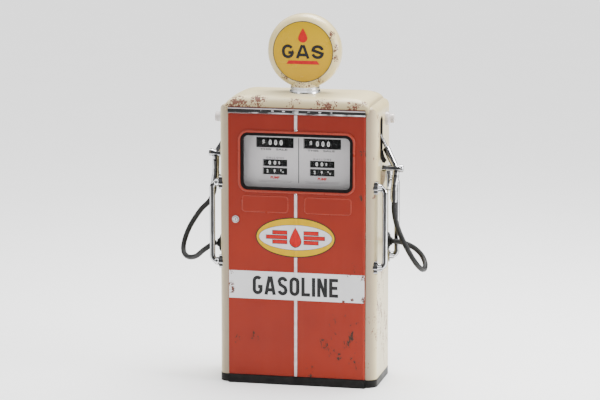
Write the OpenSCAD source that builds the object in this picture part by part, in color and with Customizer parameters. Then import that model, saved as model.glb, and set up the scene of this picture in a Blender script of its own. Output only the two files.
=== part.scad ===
// Twin-hose fuel pump, mid-century pattern: a sheet-metal cabinet with a door on each face,
// one nozzle and hose on each side, two price computers, a pumping unit and a lit globe.
// The pump has two-fold symmetry about the vertical axis: the back is the front turned half a turn.

/* [Cabinet] */
// Width over the two side panels
cab_w = 803; // [780:1:840]
// Depth over the side panels
cab_d = 387; // [380:1:400]
// Width of the door opening between the side panels
door_w = 700; // [700:1:700]
// Radius of the cabinet's vertical corners
corner_r = 51.5; // [51:0.5:52]
// Height of the black base tray
base_h = 40; // [30:1:42]
// Height of the side panels' shoulders above the floor
shoulder_z = 1420; // [1415:1:1420]
// Sheet thickness of panels and doors
sheet = 3; // [2:0.5:3]

/* [Doors] */
// Distance from the pump's centre plane to the face of a door
door_y = 205.5; // [205:0.5:206]
// Height of the bottom edge of a door
door_z0 = 44; // [43:1:46]
// Height of the top edge of a door
door_z1 = 1374; // [1370:1:1374]
// Depth of a door's folded edge
door_t = 20; // [16:1:20]
// Half width of the window opening
win_x = 286; // [280:1:288]
// Bottom of the window opening
win_z0 = 991; // [988:1:995]
// Top of the window opening
win_z1 = 1280; // [1275:1:1282]

/* [Roof and globe] */
// Rise of the roof's crown above the chrome band
roof_rise = 54; // [45:1:60]
// Height of the centre of the globe
globe_z = 1671; // [1665:1:1680]
// Outside radius of the globe's body
globe_r = 188; // [184:1:190]
// Radius of a globe lens
lens_r = 154; // [150:1:156]

/* [Hose and nozzle] */
// Outside diameter of the hose
hose_d = 26; // [22:1:26]
// How much higher the left nozzle rests than the right one
left_rise = 16; // [14:1:18]
// How far the left nozzle leans out compared with the right one, in degrees
left_lean = 7; // [6:1:8]
// Distance of the nozzles' plane from the pump's centre
nozzle_y = 64; // [62:1:66]

/* [Hidden] */
$fn = 64;
hx = cab_w / 2;               // outer face of a side panel
px = door_w / 2;              // inner edge of a side panel
cy = cab_d / 2 - corner_r;    // centre of a corner's radius
band_z0 = 1376; band_z1 = 1409;
roof_z = band_z1 + roof_rise;
dial_y = 153;                 // front of a dial plate
hinge_x = 338.5; hinge_y = 195.5;  // door pivot
slot_y = 70; slot_w = 50; slot_z0 = 1147; slot_z1 = 1357;
lock_x = 311; lock_z = 839;
outlet_y = 107; outlet_z = 697;
sight_y = 61; sight_z = 1333;
bar_x = 441; bar_y = 165; bar_r = 14; bar_z0 = 613; bar_z1 = 1015; bar_bend = 28;
val_z = 1101;                 // axis of the right nozzle's valve chamber
motor_x = -190; motor_z = 190; pump_x = 70; pump_z = 235; belt_y = 120;
motor_pr = 38; pump_pr = 92;

// The hoses' own routes, from the swivel down and round to the outlet
right_route = [[468,-64,930],[468,-64,890],[476,-65,840],[492,-67,790],[514,-69,740],[540,-69,690],[566,-60,642],[588,-34,602],
  [601,8,578],[605,54,574],[600,96,592],[580,126,622],[548,139,652],[508,136,676],[474,118,691],[446,109,697],[430,107,697]];
left_route = [[-487,64,954],[-491,64,922],[-514,65,876],[-556,66,833],[-593,67,781],[-623,66,728],[-642,60,676],[-647,44,634],
  [-633,14,606],[-599,-26,598],[-552,-68,613],[-507,-104,650],[-474,-114,675],[-450,-109,690],[-434,-107,696]];

function cat(p, i, t) =
  let (a = i > 0 ? p[i-1] : 2*p[0] - p[1], b = p[i], c = p[i+1], d = i + 2 < len(p) ? p[i+2] : 2*p[i+1] - p[i])
  0.5 * (2*b + (c - a)*t + (2*a - 5*b + 4*c - d)*t*t + (3*b - a - 3*c + d)*t*t*t);
function smooth_path(p, k) = concat([for (i = [0 : len(p)-2]) for (j = [0 : k-1]) cat(p, i, j/k)], [p[len(p)-1]]);
function unit(v) = v / norm(v);
// A frame carried along the path, so that the tube doesn't twist
function carry(t, n) = unit(n - (n*t)*t);
function frames(p, t, i, n) = i >= len(p) ? [] : let (m = carry(t[i], n)) concat([m], frames(p, t, i+1, m));
module tube(p, d, sides) {
  t = [for (i = [0 : len(p)-1]) unit(p[min(i+1, len(p)-1)] - p[max(i-1, 0)])];
  n = frames(p, t, 0, [0, 1, 0.001]);
  v = [for (i = [0 : len(p)-1]) for (j = [0 : sides-1])
        p[i] + d/2 * (cos(360*j/sides)*n[i] + sin(360*j/sides)*cross(t[i], n[i]))];
  f = concat([for (i = [0 : len(p)-2]) for (j = [0 : sides-1])
        [i*sides + j, i*sides + (j+1)%sides, (i+1)*sides + (j+1)%sides, (i+1)*sides + j]],
      [[for (j = [sides-1 : -1 : 0]) j]], [[for (j = [0 : sides-1]) (len(p)-1)*sides + j]]);
  polyhedron(points = v, faces = [for (q = f) [for (k = [len(q)-1 : -1 : 0]) q[k]]], convexity = 8);
}
module half_turn() { rotate([0, 0, 180]) children(); }
module both() { children(); half_turn() children(); }
// Rods and plates along an axis
module rod_x(x0, x1, y, z, r) { translate([x0, y, z]) rotate([0, 90, 0]) cylinder(h = x1 - x0, r = r); }
module rod_y(y0, y1, x, z, r) { translate([x, y0, z]) rotate([-90, 0, 0]) cylinder(h = y1 - y0, r = r); }
module rod_z(z0, z1, x, y, r) { translate([x, y, z0]) cylinder(h = z1 - z0, r = r); }
module block(x0, x1, y0, y1, z0, z1) { translate([x0, y0, z0]) cube([x1 - x0, y1 - y0, z1 - z0]); }
// A rod between two points of the plane y
module link(a, b, y, r) {
  d = b - a;
  translate([a[0], y, a[1]]) rotate([0, atan2(d[0], d[1]), 0]) cylinder(h = norm(d), r = r);
}
module round_rect(x0, x1, y0, y1, r) {
  translate([x0 + r, y0]) square([x1 - x0 - 2*r, y1 - y0]);
  translate([x0, y0 + r]) square([x1 - x0, y1 - y0 - 2*r]);
  for (x = [x0 + r, x1 - r]) for (y = [y0 + r, y1 - r]) translate([x, y]) circle(r = r);
}
// An upright plate whose outline is drawn in x and z, from y0 to y1
module upright(y0, y1) { translate([0, y1, 0]) rotate([90, 0, 0]) linear_extrude(y1 - y0) children(); }

// ---------- cabinet ----------
// One end of the cabinet seen from above, g larger all round, cut off at x0
module end_outline(g, x0) intersection() {
  union() {
    for (s = [-1, 1]) translate([px, s*cy]) circle(r = corner_r + g);
    translate([px, -cy]) square([corner_r + g, 2*cy]);
    translate([px - 60, -cy - corner_r - g]) square([60, 2*(cy + corner_r + g)]);
  }
  translate([x0, -400]) square([500, 800]);
}
module base_outline(g) {
  end_outline(g, 300);
  mirror([1, 0]) end_outline(g, 300);
  translate([-px - g, -door_y - g]) square([2*(px + g), 2*(door_y + g)]);
}
module base_tray() color("#1c1c1d") difference() {
  union() {
    linear_extrude(base_h) base_outline(1);
    both() { rod_z(30, 54, hinge_x, -hinge_y, 5); rod_z(30, 43, hinge_x, -hinge_y, 7.5); }
  }
  translate([0, 0, 8]) linear_extrude(base_h) intersection() {
    base_outline(-12);
    union() { square([620, 380], center = true); square([740, 300], center = true); }
  }
  for (x = [-300, 300]) for (y = [-130, 130]) rod_z(-1, 9, x, y, 8);
  rod_z(-1, 9, pump_x, 0, 40);
  rod_z(-1, 9, -315, 80, 14);
}
module frame_uprights() color("#5c5f60") for (sx = [-1, 1]) for (sy = [-1, 1])
  scale([sx, sy, 1]) difference() {
    block(354, 380, 142, 168, base_h, 1384);
    block(350, 377, 139, 165, 0, 1400);
  }
module frame_rails() color("#5c5f60") {
  for (s = [-1, 1]) {
    // header above each door, and the ledger that carries the computers
    difference() {
      block(-349, 349, s*168 - 18, s*168 + 18, 1378, 1402);
      block(-340, 340, s*168 - 15, s*168 + 15, 1370, 1399);
    }
    block(-376, 376, s*135 - 7, s*135 + 7, 962, 970);
    block(s*362 - 8, s*362 + 8, -142, 142, 1365, 1377);
  }
}
module side_panel() difference() {
  intersection() {
    translate([0, 0, base_h]) linear_extrude(shoulder_z - base_h) end_outline(0, px);
    // rounded shoulder seen from the front, and from the side
    upright(-300, 300) { square([corner_r + px + 1, shoulder_z - 45]); square([px + corner_r - 45, shoulder_z + 1]);
      translate([px + corner_r - 45, shoulder_z - 45]) circle(r = 45); }
    rotate([90, 0, 90]) linear_extrude(500) round_rect(-cab_d/2, cab_d/2, -60, shoulder_z, 34);
  }
  difference() {
    translate([0, 0, base_h - 1]) linear_extrude(shoulder_z - base_h - sheet - 30) end_outline(-sheet, px - 1);
    for (s = [-1, 1]) block(px - 2, px + sheet, s*192 - 8, s*192 + 8, 0, 1500);
  }
  translate([hx - 30, -slot_y, 0]) rotate([0, 90, 0]) linear_extrude(60)
    round_rect(-slot_z1, -slot_z0, -slot_w/2, slot_w/2, slot_w/2 - 0.5);
  rod_x(hx - 10, hx + 10, outlet_y, outlet_z, 24);
  rod_x(hx - 10, hx + 30, sight_y, sight_z, 20);
}
// Raised lip round the nozzle slot
module slot_lip() translate([hx, -slot_y, 0]) rotate([0, 90, 0]) linear_extrude(2.2) difference() {
  round_rect(-slot_z1 - 7, -slot_z0 + 7, -slot_w/2 - 7, slot_w/2 + 7, slot_w/2 + 6);
  round_rect(-slot_z1, -slot_z0, -slot_w/2, slot_w/2, slot_w/2 - 0.5);
}
module right_side_panel() color("#ddd3b8") { side_panel(); slot_lip(); }
module left_side_panel() color("#ddd3b8") half_turn() { side_panel(); slot_lip(); }

// Half of the roof's section from the crown to its lower edge, e smaller all round
function roof_half(e) = concat([[0, roof_rise - e], [60, roof_rise - 1 - e], [115, roof_rise - 3 - e]],
  [for (a = [75 : -15 : 0]) [door_y - 51 + (50 - e)*cos(a), roof_rise - 54 + (50 - e)*sin(a)]]);
function roof_section(e) = let (h = roof_half(e)) concat([for (p = h) p], [[door_y - 1 - e, -3], [1 + e - door_y, -3]],
  [for (i = [len(h) - 1 : -1 : 1]) [-h[i][0], h[i][1]]]);
module roof_solid(e) intersection() {
  translate([-400, 0, band_z1]) rotate([90, 0, 90]) linear_extrude(800) polygon(roof_section(e));
  upright(-260, 260) {
    translate([-px + 0.5 + e, band_z1 - 3]) square([door_w - 1 - 2*e, 40]);
    difference() { translate([0, shoulder_z - 40]) round_rect(-366 + e, 366 - e, 0, roof_z - e + 40 - shoulder_z, 42);
      translate([-400, shoulder_z - 60]) square([800, 60.3 + e]); }
  }
}
module roof_cap() color("#ded5bb") difference() {
  roof_solid(0);
  translate([0, 0, -0.01]) roof_solid(4);
  rod_z(1400, 1500, 0, 0, 60.2);
}
// Ribbed band above each door: two bright ribs with a dark groove between
module band() {
  translate([-px + 1, 0, 0]) rotate([90, 0, 90]) linear_extrude(door_w - 2)
    polygon([[-199, band_z0], [-211, band_z0], [-213, band_z0 + 2], [-213, band_z0 + 8], [-211, band_z0 + 10.5], [-208, band_z0 + 11],
      [-208, band_z1 - 13], [-211, band_z1 - 12.5], [-213, band_z1 - 10], [-213, band_z1 - 6], [-211, band_z1 - 3], [-186, band_z1 - 3],
      [-186, band_z1 - 8], [-199, band_z1 - 8]]);
  block(330, 348, -200, -186, band_z0 + 2, band_z0 + 9);
  rod_z(band_z0 - 12, band_z0 + 3, hinge_x, -hinge_y, 5);
}
module chrome_bands() color("#c9cbcd") both() band();

// ---------- doors ----------
module door_shape(inset) round_rect(-px + 1.5 + inset, hinge_x, door_z0 + inset, door_z1 - inset, 6);
module door() difference() {
  union() {
    difference() {
      upright(-door_y, -door_y + door_t) door_shape(0);
      upright(-door_y + sheet, -door_y + door_t + 1) translate([-20, 0]) door_shape(3);
    }
    upright(-door_y, -door_y + door_t) round_rect(-win_x - 6, win_x + 6, win_z0 - 6, win_z1 + 6, 44);
    upright(-door_y - 4, -door_y + 1) round_rect(-win_x - 12, win_x + 12, win_z0 - 12, win_z1 + 12, 50);
    for (s = [-1, 1]) upright(-door_y - 2, -door_y + 1) round_rect(s*160 - 116, s*160 + 116, 882, 960, 16);
    // edge rolled round the pivot
    rod_z(door_z0, door_z1, hinge_x, -hinge_y, 10);
  }
  upright(-door_y - 10, -door_y + door_t + 5) round_rect(-win_x, win_x, win_z0, win_z1, 38);
  rod_y(-door_y - 5, -door_y + 10, -lock_x, lock_z, 12);
  rod_z(door_z0 - 1, door_z0 + 14, hinge_x, -hinge_y, 5.05);
  rod_z(door_z1 - 14, door_z1 + 1, hinge_x, -hinge_y, 5.05);
}
module front_door() color("#b8432a") door();
module rear_door() color("#b8432a") half_turn() door();
module strips() for (q = [[door_z0 + 3, win_z0 - 14], [win_z1 + 14, door_z1 - 1]])
  upright(-door_y - 5, -door_y) { translate([-9.5, q[0] + 9.5]) square([19, q[1] - q[0] - 19]);
    for (z = [q[0] + 9.5, q[1] - 9.5]) translate([0, z]) circle(r = 9.5); }
module front_door_strips() color("#cfc6c4") strips();
module rear_door_strips() color("#cfc6c4") half_turn() strips();
module gasket() difference() {
  upright(-208, -183) round_rect(-win_x + 0.1, win_x - 0.1, win_z0 + 0.1, win_z1 - 0.1, 38);
  upright(-210, -180) round_rect(-271, 271, 1006, 1265, 24);
  upright(-195, -180) round_rect(-277, 277, 1000, 1271, 30);
}
module front_window_gasket() color("#17120f") gasket();
module rear_window_gasket() color("#17120f") half_turn() gasket();
module glass() upright(-195, -190) round_rect(-276.8, 276.8, 1000.2, 1270.8, 29.8);
module front_window_glass() color("#dfe8ea", 0.3) glass();
module rear_window_glass() color("#dfe8ea", 0.3) half_turn() glass();
// Key cylinder with the cam that turns to reach behind the side panel's return
module lock() {
  rod_y(-door_y - 6, -door_y - 0.3, -lock_x, lock_z, 18);
  difference() { rod_y(-door_y - 9, -178, -lock_x, lock_z, 11.9);
    block(-lock_x - 1.2, -lock_x + 1.2, -door_y - 10, -door_y - 4, lock_z - 6, lock_z + 6); }
  block(-lock_x - 9, -lock_x + 9, -180, -176, lock_z - 9, lock_z + 47);
}
module front_lock() color("#c5c2bd") lock();
module rear_lock() color("#c5c2bd") half_turn() lock();

// ---------- dial and computers ----------
money_y = 101; money_z = 1224.5; money_r = 50; gallon_y = 116; gallon_z = 1122; gallon_r = 35;
module dial_plates() color("#b9bbbe") both() difference() {
  upright(-dial_y, -dial_y + 2) round_rect(-300, 300, 972, 1300, 6);
  for (s = [-1, 1]) {
    upright(-dial_y - 5, -dial_y + 5) translate([s*121 - 93, 1201]) square([186, 47]);
    for (z = [1107, 1065]) upright(-dial_y - 5, -dial_y + 5) translate([s*120 - 60, z]) square([120, 30]);
  }
}
// One price computer, which shows on both faces of the pump
module computer() difference() {
  union() {
    block(18, 222, -28, 28, 1010, 1275);
    block(20, 220, -142, 142, 1010, 1022);
    for (s = [-1, 1]) {
      block(40, 200, s*131 - 11, s*131 + 11, 970, 1012);
      for (x = [20, 214]) block(x, x + 6, s*89 - 62, s*89 + 62, 1020, 1285);
      // price plate and the black blinds beside the money wheels
      block(26, 214, s*148 - 2, s*148 + 2, 1062, 1098);
      block(26, 78 + (s < 0 ? 2 : -3), s*148 - 2, s*148 + 2, 1198, 1251);
      block(167 + (s < 0 ? 2 : -3), 214, s*148 - 2, s*148 + 2, 1198, 1251);
    }
  }
  for (s = [-1, 1]) { rod_x(10, 230, s*money_y, money_z, 4.05); rod_x(10, 230, s*gallon_y, gallon_z, 4.05); }
  rod_z(1000, 1040, 190, 0, 8.05);
  rod_z(1000, 1022, 190, 0, 12);
}
module right_computer() color("#3a3c3e") computer();
module left_computer() color("#3a3c3e") half_turn() computer();
module wheels(y, z, r, x0, pitch, w) { rod_x(16, 224, y, z, 4);
  for (i = [0 : 2]) rod_x(x0 + i*pitch, x0 + i*pitch + w, y, z, r); }
module money_wheels(s) wheels(s*money_y, money_z, money_r, s < 0 ? 82 : 77, 28, 26);
module gallon_wheels(s) wheels(s*gallon_y, gallon_z, gallon_r, s < 0 ? 79 : 83, 26.5, 25);
module right_front_money_wheels() color("#202020") money_wheels(-1);
module right_rear_money_wheels() color("#202020") money_wheels(1);
module right_front_gallon_wheels() color("#202020") gallon_wheels(-1);
module right_rear_gallon_wheels() color("#202020") gallon_wheels(1);
module left_front_money_wheels() color("#202020") half_turn() money_wheels(1);
module left_rear_money_wheels() color("#202020") half_turn() money_wheels(-1);
module left_front_gallon_wheels() color("#202020") half_turn() gallon_wheels(1);
module left_rear_gallon_wheels() color("#202020") half_turn() gallon_wheels(-1);
module dial_lamps() color("#f1f0e6") both() {
  rod_x(-250, 250, -168, 1316, 8);
  for (s = [-1, 1]) block(s*262 - 12, s*262 + 12, -180, -156, 1300, 1378);
}

// ---------- globe ----------
function sgn(x) = x < 0 ? -1 : 1;
// Point of the globe's rim section at angle a, g smaller all round
function rim(a, g) = [138 + (globe_r - 138 - g)*pow(cos(a), 0.8), (57 - g)*sgn(sin(a))*pow(abs(sin(a)), 0.8)];
module globe_body() color("#e2dac3") difference() {
  union() {
    translate([0, 0, globe_z]) rotate([90, 0, 0]) rotate_extrude()
      polygon(concat([for (a = [-75 : 10 : 75]) rim(a, 0)], [for (a = [75 : -10 : -75]) rim(a, 5)]));
    difference() {
      translate([0, 0, 1492]) cylinder(h = 34, r1 = 73, r2 = 58);
      translate([0, 0, globe_z]) rotate([90, 0, 0]) cylinder(h = 200, r = lens_r + 1, center = true);
    }
  }
  translate([0, 0, 1480]) cylinder(h = 90, r = 50);
  translate([0, 0, 1400]) cylinder(h = 92, r = 100);
}
module globe_lenses() color("#d8b419") both() translate([0, -46, globe_z]) rotate([90, 0, 0]) rotate_extrude()
  polygon(concat([[0, 0], [lens_r, 0]], [for (i = [0 : 6]) let (r = lens_r*(1 - i/6)) [r, 4 + 9*(1 - r*r/lens_r/lens_r)]]));
module globe_collar() color("#b9bbbc") difference() {
  union() {
    rod_z(1445, 1492, 0, 0, 60);
    rotate_extrude() polygon([[50, 1450], [77, 1450], [79, 1463], [78, 1469], [74, 1478], [74, 1486], [71.5, 1492], [50, 1492]]);
  }
  difference() { roof_solid(-0.2); rod_z(1300, 1600, 0, 0, 60); }
  rod_z(1430, 1520, 0, 0, 50);
}
module globe_lamp() color("#f3efe0") {
  block(-49.5, 49.5, -5, 5, 1446, 1452);
  rod_z(1440, 1540, 0, 0, 18);
  translate([0, 0, 1565]) sphere(r = 36);
}

// ---------- guard rails ----------
module rail() {
  difference() {
    union() for (z = [bar_z0, bar_z1]) {
      translate([0, -bar_y, z]) rotate([0, 90, 0]) linear_extrude(405) { translate([-20, -14]) square([40, 28]); for (q = [-20, 20]) translate([q, 0]) circle(r = 14); }
      rod_x(300, 410, -bar_y, z, 17);
    }
    translate([0, 0, 500]) linear_extrude(600) { end_outline(0.2, 300); translate([-10, -190]) square([361, 380]); }
  }
  rod_z(bar_z0 + bar_bend, bar_z1 - bar_bend, bar_x, -bar_y, bar_r);
  for (s = [-1, 1]) translate([bar_x - bar_bend, -bar_y, s > 0 ? bar_z1 - bar_bend : bar_z0 + bar_bend])
    scale([1, 1, s]) rotate([90, 0, 0]) rotate_extrude(angle = 90) translate([bar_bend, 0]) circle(r = bar_r);
  for (z = [bar_z0, bar_z1]) rod_x(404, bar_x - bar_bend, -bar_y, z, bar_r);
}
module guard_rails() color("#c9cbcd") both() { rail(); mirror([0, 1, 0]) rail(); }

// ---------- nozzle boots, rests, sight glasses, hose outlets ----------
module boot_shape(e) round_rect(-slot_z1 - e, -slot_z0 + e, -slot_w/2 - e, slot_w/2 + e, slot_w/2 - 0.5 + e);
module nozzle_boots() color("#1f1d1c") both() {
  translate([0, -slot_y, 0]) rotate([0, 90, 0]) difference() {
    union() {
      translate([0, 0, 330]) linear_extrude(hx - sheet - 330) boot_shape(5);
      translate([0, 0, 395]) linear_extrude(8) boot_shape(-0.3);
    }
    translate([0, 0, 333]) linear_extrude(200) boot_shape(-4);
  }
  rod_y(-slot_y - 24, -slot_y + 24, 386, 1196, 3);
}
// Painted rest under the nozzle's valve chamber
module rest(z) upright(-nozzle_y - 17, -nozzle_y + 17)
  polygon([[hx, z - 15.7], [427, z - 15.7], [427, z - 42], [420, z - 70], [409, z - 118], [hx, z - 122]]);
module nozzle_rests() color("#ddd3b8") { rest(val_z); half_turn() rest(val_z + left_rise); }
module sight_glasses() color("#d2d4d5") both() {
  rod_x(366, hx, sight_y, sight_z, 19.8);
  rod_x(hx, hx + 15, sight_y, sight_z, 34);
  translate([hx + 15, sight_y, sight_z]) rotate([0, 90, 0]) cylinder(h = 12, r1 = 31, r2 = 24);
  rod_x(hx + 27, hx + 44, sight_y, sight_z, 24);
}
module hose_outlets() color("#242322") both() {
  rod_x(hx, hx + 9, outlet_y, outlet_z, 45);
  rod_x(hx + 9, hx + 17, outlet_y, outlet_z, 27);
  rod_x(hx + 17, 428, outlet_y, outlet_z, 20);
  rod_x(370, hx, outlet_y, outlet_z, 20);
  for (a = [45 : 90 : 315]) rod_x(hx + 9, hx + 13, outlet_y + 35*cos(a), outlet_z + 35*sin(a), 6);
}
module right_hose() color("#1d1d1c") tube(smooth_path(right_route, 2), hose_d, 12);
module left_hose() color("#1d1d1c") tube(smooth_path(left_route, 2), hose_d, 12);

// ---------- nozzles, drawn for the right side ----------
// The left one leans and rises; it is moved in by what its lean adds to its reach
lean_in = 109*cos(left_lean) + 18.5*sin(left_lean) - 109;
module lean(side) {
  if (side > 0) children();
  else half_turn() translate([404 - lean_in, 0, val_z + left_rise]) rotate([0, -left_lean, 0]) translate([-404, 0, -val_z]) children();
}
barrel_a = 25.3;  // lean of the barrel from the vertical, in degrees
// The switch levers hang beside the nozzles; they are not part of the lean
module nozzle_body() difference() {
  union() {
    rod_x(408, 500, -nozzle_y, val_z, 15);
    rod_x(496, 513, -nozzle_y, val_z, 18.5);
    link([472, 1112], [428, 1205], -nozzle_y, 12.5);
    link([438, 1184], [427, 1207], -nozzle_y, 15);
    link([478, 1095], [468.6, 1000], -nozzle_y, 16);
    rod_z(986, 1004, 468, -nozzle_y, 18);
    rod_z(966, 988, 468, -nozzle_y, 10);
    // hanging rib beside the barrel
    upright(-nozzle_y - 4, -nozzle_y + 4) polygon([[411, 1192], [416, 1186], [455, 1105], [462, 1110], [421, 1193], [434, 1193], [434, 1199], [413, 1199]]);
    // guard in front of the trigger
    upright(-nozzle_y - 7, -nozzle_y + 7) polygon([[431, 1094], [434.5, 1094], [434.5, 993], [466, 993], [466, 989], [431, 989]]);
    // ears that hold the trigger's pin
    for (s = [-1, 1]) block(433, 447, -nozzle_y + s*7 - 1.6, -nozzle_y + s*7 + 1.6, 1073, 1092);
    rod_y(-nozzle_y - 9.6, -nozzle_y + 9.6, 441, 1080, 2.5);
  }
  translate([428, -nozzle_y, 1205]) rotate([0, -barrel_a, 0]) translate([0, 0, -30]) cylinder(h = 40, r = 8.4);
}
module right_nozzle_body() color("#c9cbcd") lean(1) nozzle_body();
module left_nozzle_body() color("#c9cbcd") lean(-1) nozzle_body();
// Bent tube, with its tip in line with the upper stretch
module nozzle_spout() {
  translate([428, -nozzle_y, 1205]) rotate([0, -barrel_a, 0]) difference() {
    union() {
      translate([0, 0, -28]) cylinder(h = 68, r = 8.3);
      translate([0, 0, 40]) sphere(r = 8.3);
      translate([0, 0, 40]) rotate([0, -8, 0]) cylinder(h = 66, r = 8.3);
    }
    translate([0, 0, -30]) cylinder(h = 70, r = 6.5);
    translate([0, 0, 40]) sphere(r = 6.5);
    translate([0, 0, 40]) rotate([0, -8, 0]) cylinder(h = 70, r = 6.5);
  }
}
module right_nozzle_spout() color("#b9bcbf") lean(1) nozzle_spout();
module left_nozzle_spout() color("#b9bcbf") lean(-1) nozzle_spout();
module nozzle_lever() upright(-nozzle_y - 5, -nozzle_y + 5) difference() {
  union() {
    translate([441, 1080]) circle(r = 5.5);
    polygon([[436.5, 1080], [441, 1080], [441, 1009], [439, 1006], [436.5, 1008]]);
  }
  translate([441, 1080]) circle(r = 2.55);
}
module right_nozzle_lever() color("#2b2b2b") lean(1) nozzle_lever();
module left_nozzle_lever() color("#2b2b2b") lean(-1) nozzle_lever();
module hose_swivel() difference() {
  union() {
    rod_z(944, 985.6, 468, -nozzle_y, 19.5);
    rod_z(930.4, 946, 468, -nozzle_y, 16.5);
  }
  rod_z(960, 990, 468, -nozzle_y, 10.05);
}
module right_hose_swivel() color("#b7b9bb") lean(1) hose_swivel();
module left_hose_swivel() color("#b7b9bb") lean(-1) hose_swivel();
// Motor switch lever, pivoted inside the boot beside the nozzle
module switch_lever() upright(-slot_y - 20.5, -slot_y - 12.5) difference() {
  union() {
    translate([386, 1196]) circle(r = 8);
    polygon([[380, 1190], [406, 1186], [406, 1150], [412, 1132], [424, 1130], [434, 1144], [430, 1150], [422, 1142],
      [416, 1156], [416, 1192], [390, 1203]]);
  }
  translate([386, 1196]) circle(r = 3.05);
}
module right_switch_lever() color("#191919") switch_lever();
module left_switch_lever() color("#191919") half_turn() switch_lever();

// ---------- pumping gear ----------
// A band round the two pulleys, e outside their groove floors
module belt_outline(e) {
  c = [[motor_x, motor_z], [pump_x, pump_z]]; r = [motor_pr, pump_pr];
  d = c[1] - c[0]; base = atan2(d[1], d[0]); open = acos((r[0] - r[1])/norm(d));
  for (i = [0, 1]) translate(c[i]) circle(r = r[i] + e);
  n = [for (s = [-1, 1]) [cos(base + s*open), sin(base + s*open)]];
  polygon([c[0] + (r[0] + e)*n[0], c[1] + (r[1] + e)*n[0], c[1] + (r[1] + e)*n[1], c[0] + (r[0] + e)*n[1]]);
}
module drive_belt() color("#222222") upright(-belt_y - 6, -belt_y + 6) difference() { belt_outline(7.5); belt_outline(0.5); }
module pulley(x, z, r, bore) difference() {
  union() {
    rod_y(-belt_y - 7, -belt_y + 7, x, z, r);
    for (s = [-1, 1]) rod_y(-belt_y + s*8.5 - 1.5, -belt_y + s*8.5 + 1.5, x, z, r + 9);
    rod_y(-belt_y - 10, -belt_y + 16, x, z, 20);
  }
  rod_y(-belt_y - 30, -belt_y + 30, x, z, bore);
}
module motor_pulley() color("#6a6c6e") pulley(motor_x, motor_z, motor_pr, 8.05);
module pump_pulley() color("#6a6c6e") pulley(pump_x, pump_z, pump_pr, 10.05);
module motor() color("#4c5254") {
  rod_y(-90, 70, motor_x, motor_z, 80);
  rod_y(-98, -90, motor_x, motor_z, 34);
  rod_y(-132, -98, motor_x, motor_z, 8);
  block(motor_x - 70, motor_x + 70, -70, 55, 8, 130);
  block(motor_x - 28, motor_x + 28, -40, 20, 255, 290);
}
module pumping_unit() color("#5a5148") difference() {
  union() {
    rod_y(-80, 60, pump_x, pump_z, 84);
    rod_y(-98, -80, pump_x, pump_z, 34);
    rod_y(-134, -98, pump_x, pump_z, 10);
    block(pump_x - 70, pump_x + 70, -60, 60, 60, 200);
    for (x = [-70, 50]) block(pump_x + x, pump_x + x + 20, -60, 60, 8, 62);
    rod_z(300, 440, pump_x, 10, 58);
    rod_z(440, 452, pump_x, 10, 66);
    rod_z(14, 62, pump_x, 0, 34);
  }
  rod_z(0, 80, pump_x, 0, 24);
}
module meters() color("#6b6258") both() {
  rod_z(700, 780, 190, 0, 82);
  rod_z(780, 806, 190, 0, 60);
  rod_z(806, 830, 190, 0, 24);
  rod_z(660, 700, 190, 0, 24);
}
module pipework() color("#7a7d80") {
  rod_z(452, 560, pump_x, 10, 20);
  translate([pump_x, 10, 560]) sphere(r = 20);
  for (s = [-1, 1]) {
    rod_x(min(pump_x, s*190), max(pump_x, s*190), 10, 560, 20);
    translate([s*190, 10, 560]) sphere(r = 20);
    rod_z(560, 660, s*190, 10, 20);
  }
  both() {
    rod_x(272.2, 330, 0, 740, 16);
    translate([330, 0, 740]) sphere(r = 16);
    rod_y(0, outlet_y, 330, 740, 16);
    translate([330, outlet_y, 740]) sphere(r = 16);
    rod_z(outlet_z, 740, 330, outlet_y, 16);
    translate([330, outlet_y, outlet_z]) sphere(r = 16);
    rod_x(330, 370, outlet_y, outlet_z, 16);
  }
}
module meter_shaft() { rod_z(832, 1036, 190, 0, 8); rod_z(832, 846, 190, 0, 16); }
module right_meter_shaft() color("#9a9da0") meter_shaft();
module left_meter_shaft() color("#9a9da0") half_turn() meter_shaft();
module junction_box() color("#8a8d8f") {
  block(-354, -290, 62, 160, 120, 300);
  rod_z(300, 420, -335, 100, 12);
  rod_z(70, 120, -315, 80, 12);
}

base_tray();
frame_uprights();
frame_rails();
right_side_panel();
left_side_panel();
roof_cap();
chrome_bands();
front_door();
rear_door();
front_door_strips();
rear_door_strips();
front_window_gasket();
rear_window_gasket();
front_window_glass();
rear_window_glass();
front_lock();
rear_lock();
dial_plates();
globe_body();
globe_lenses();
globe_collar();
globe_lamp();
guard_rails();
nozzle_boots();
nozzle_rests();
sight_glasses();
hose_outlets();
right_hose();
left_hose();
right_hose_swivel();
left_hose_swivel();
right_nozzle_body();
left_nozzle_body();
right_nozzle_spout();
left_nozzle_spout();
right_nozzle_lever();
left_nozzle_lever();
right_switch_lever();
left_switch_lever();
right_computer();
left_computer();
right_front_money_wheels();
right_front_gallon_wheels();
right_rear_money_wheels();
right_rear_gallon_wheels();
left_front_money_wheels();
left_front_gallon_wheels();
left_rear_money_wheels();
left_rear_gallon_wheels();
meters();
right_meter_shaft();
left_meter_shaft();
pipework();
motor();
motor_pulley();
drive_belt();
pumping_unit();
pump_pulley();
junction_box();
dial_lamps();
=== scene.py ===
import bpy, bmesh, math
import numpy as np
from mathutils import Matrix, Vector


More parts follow.
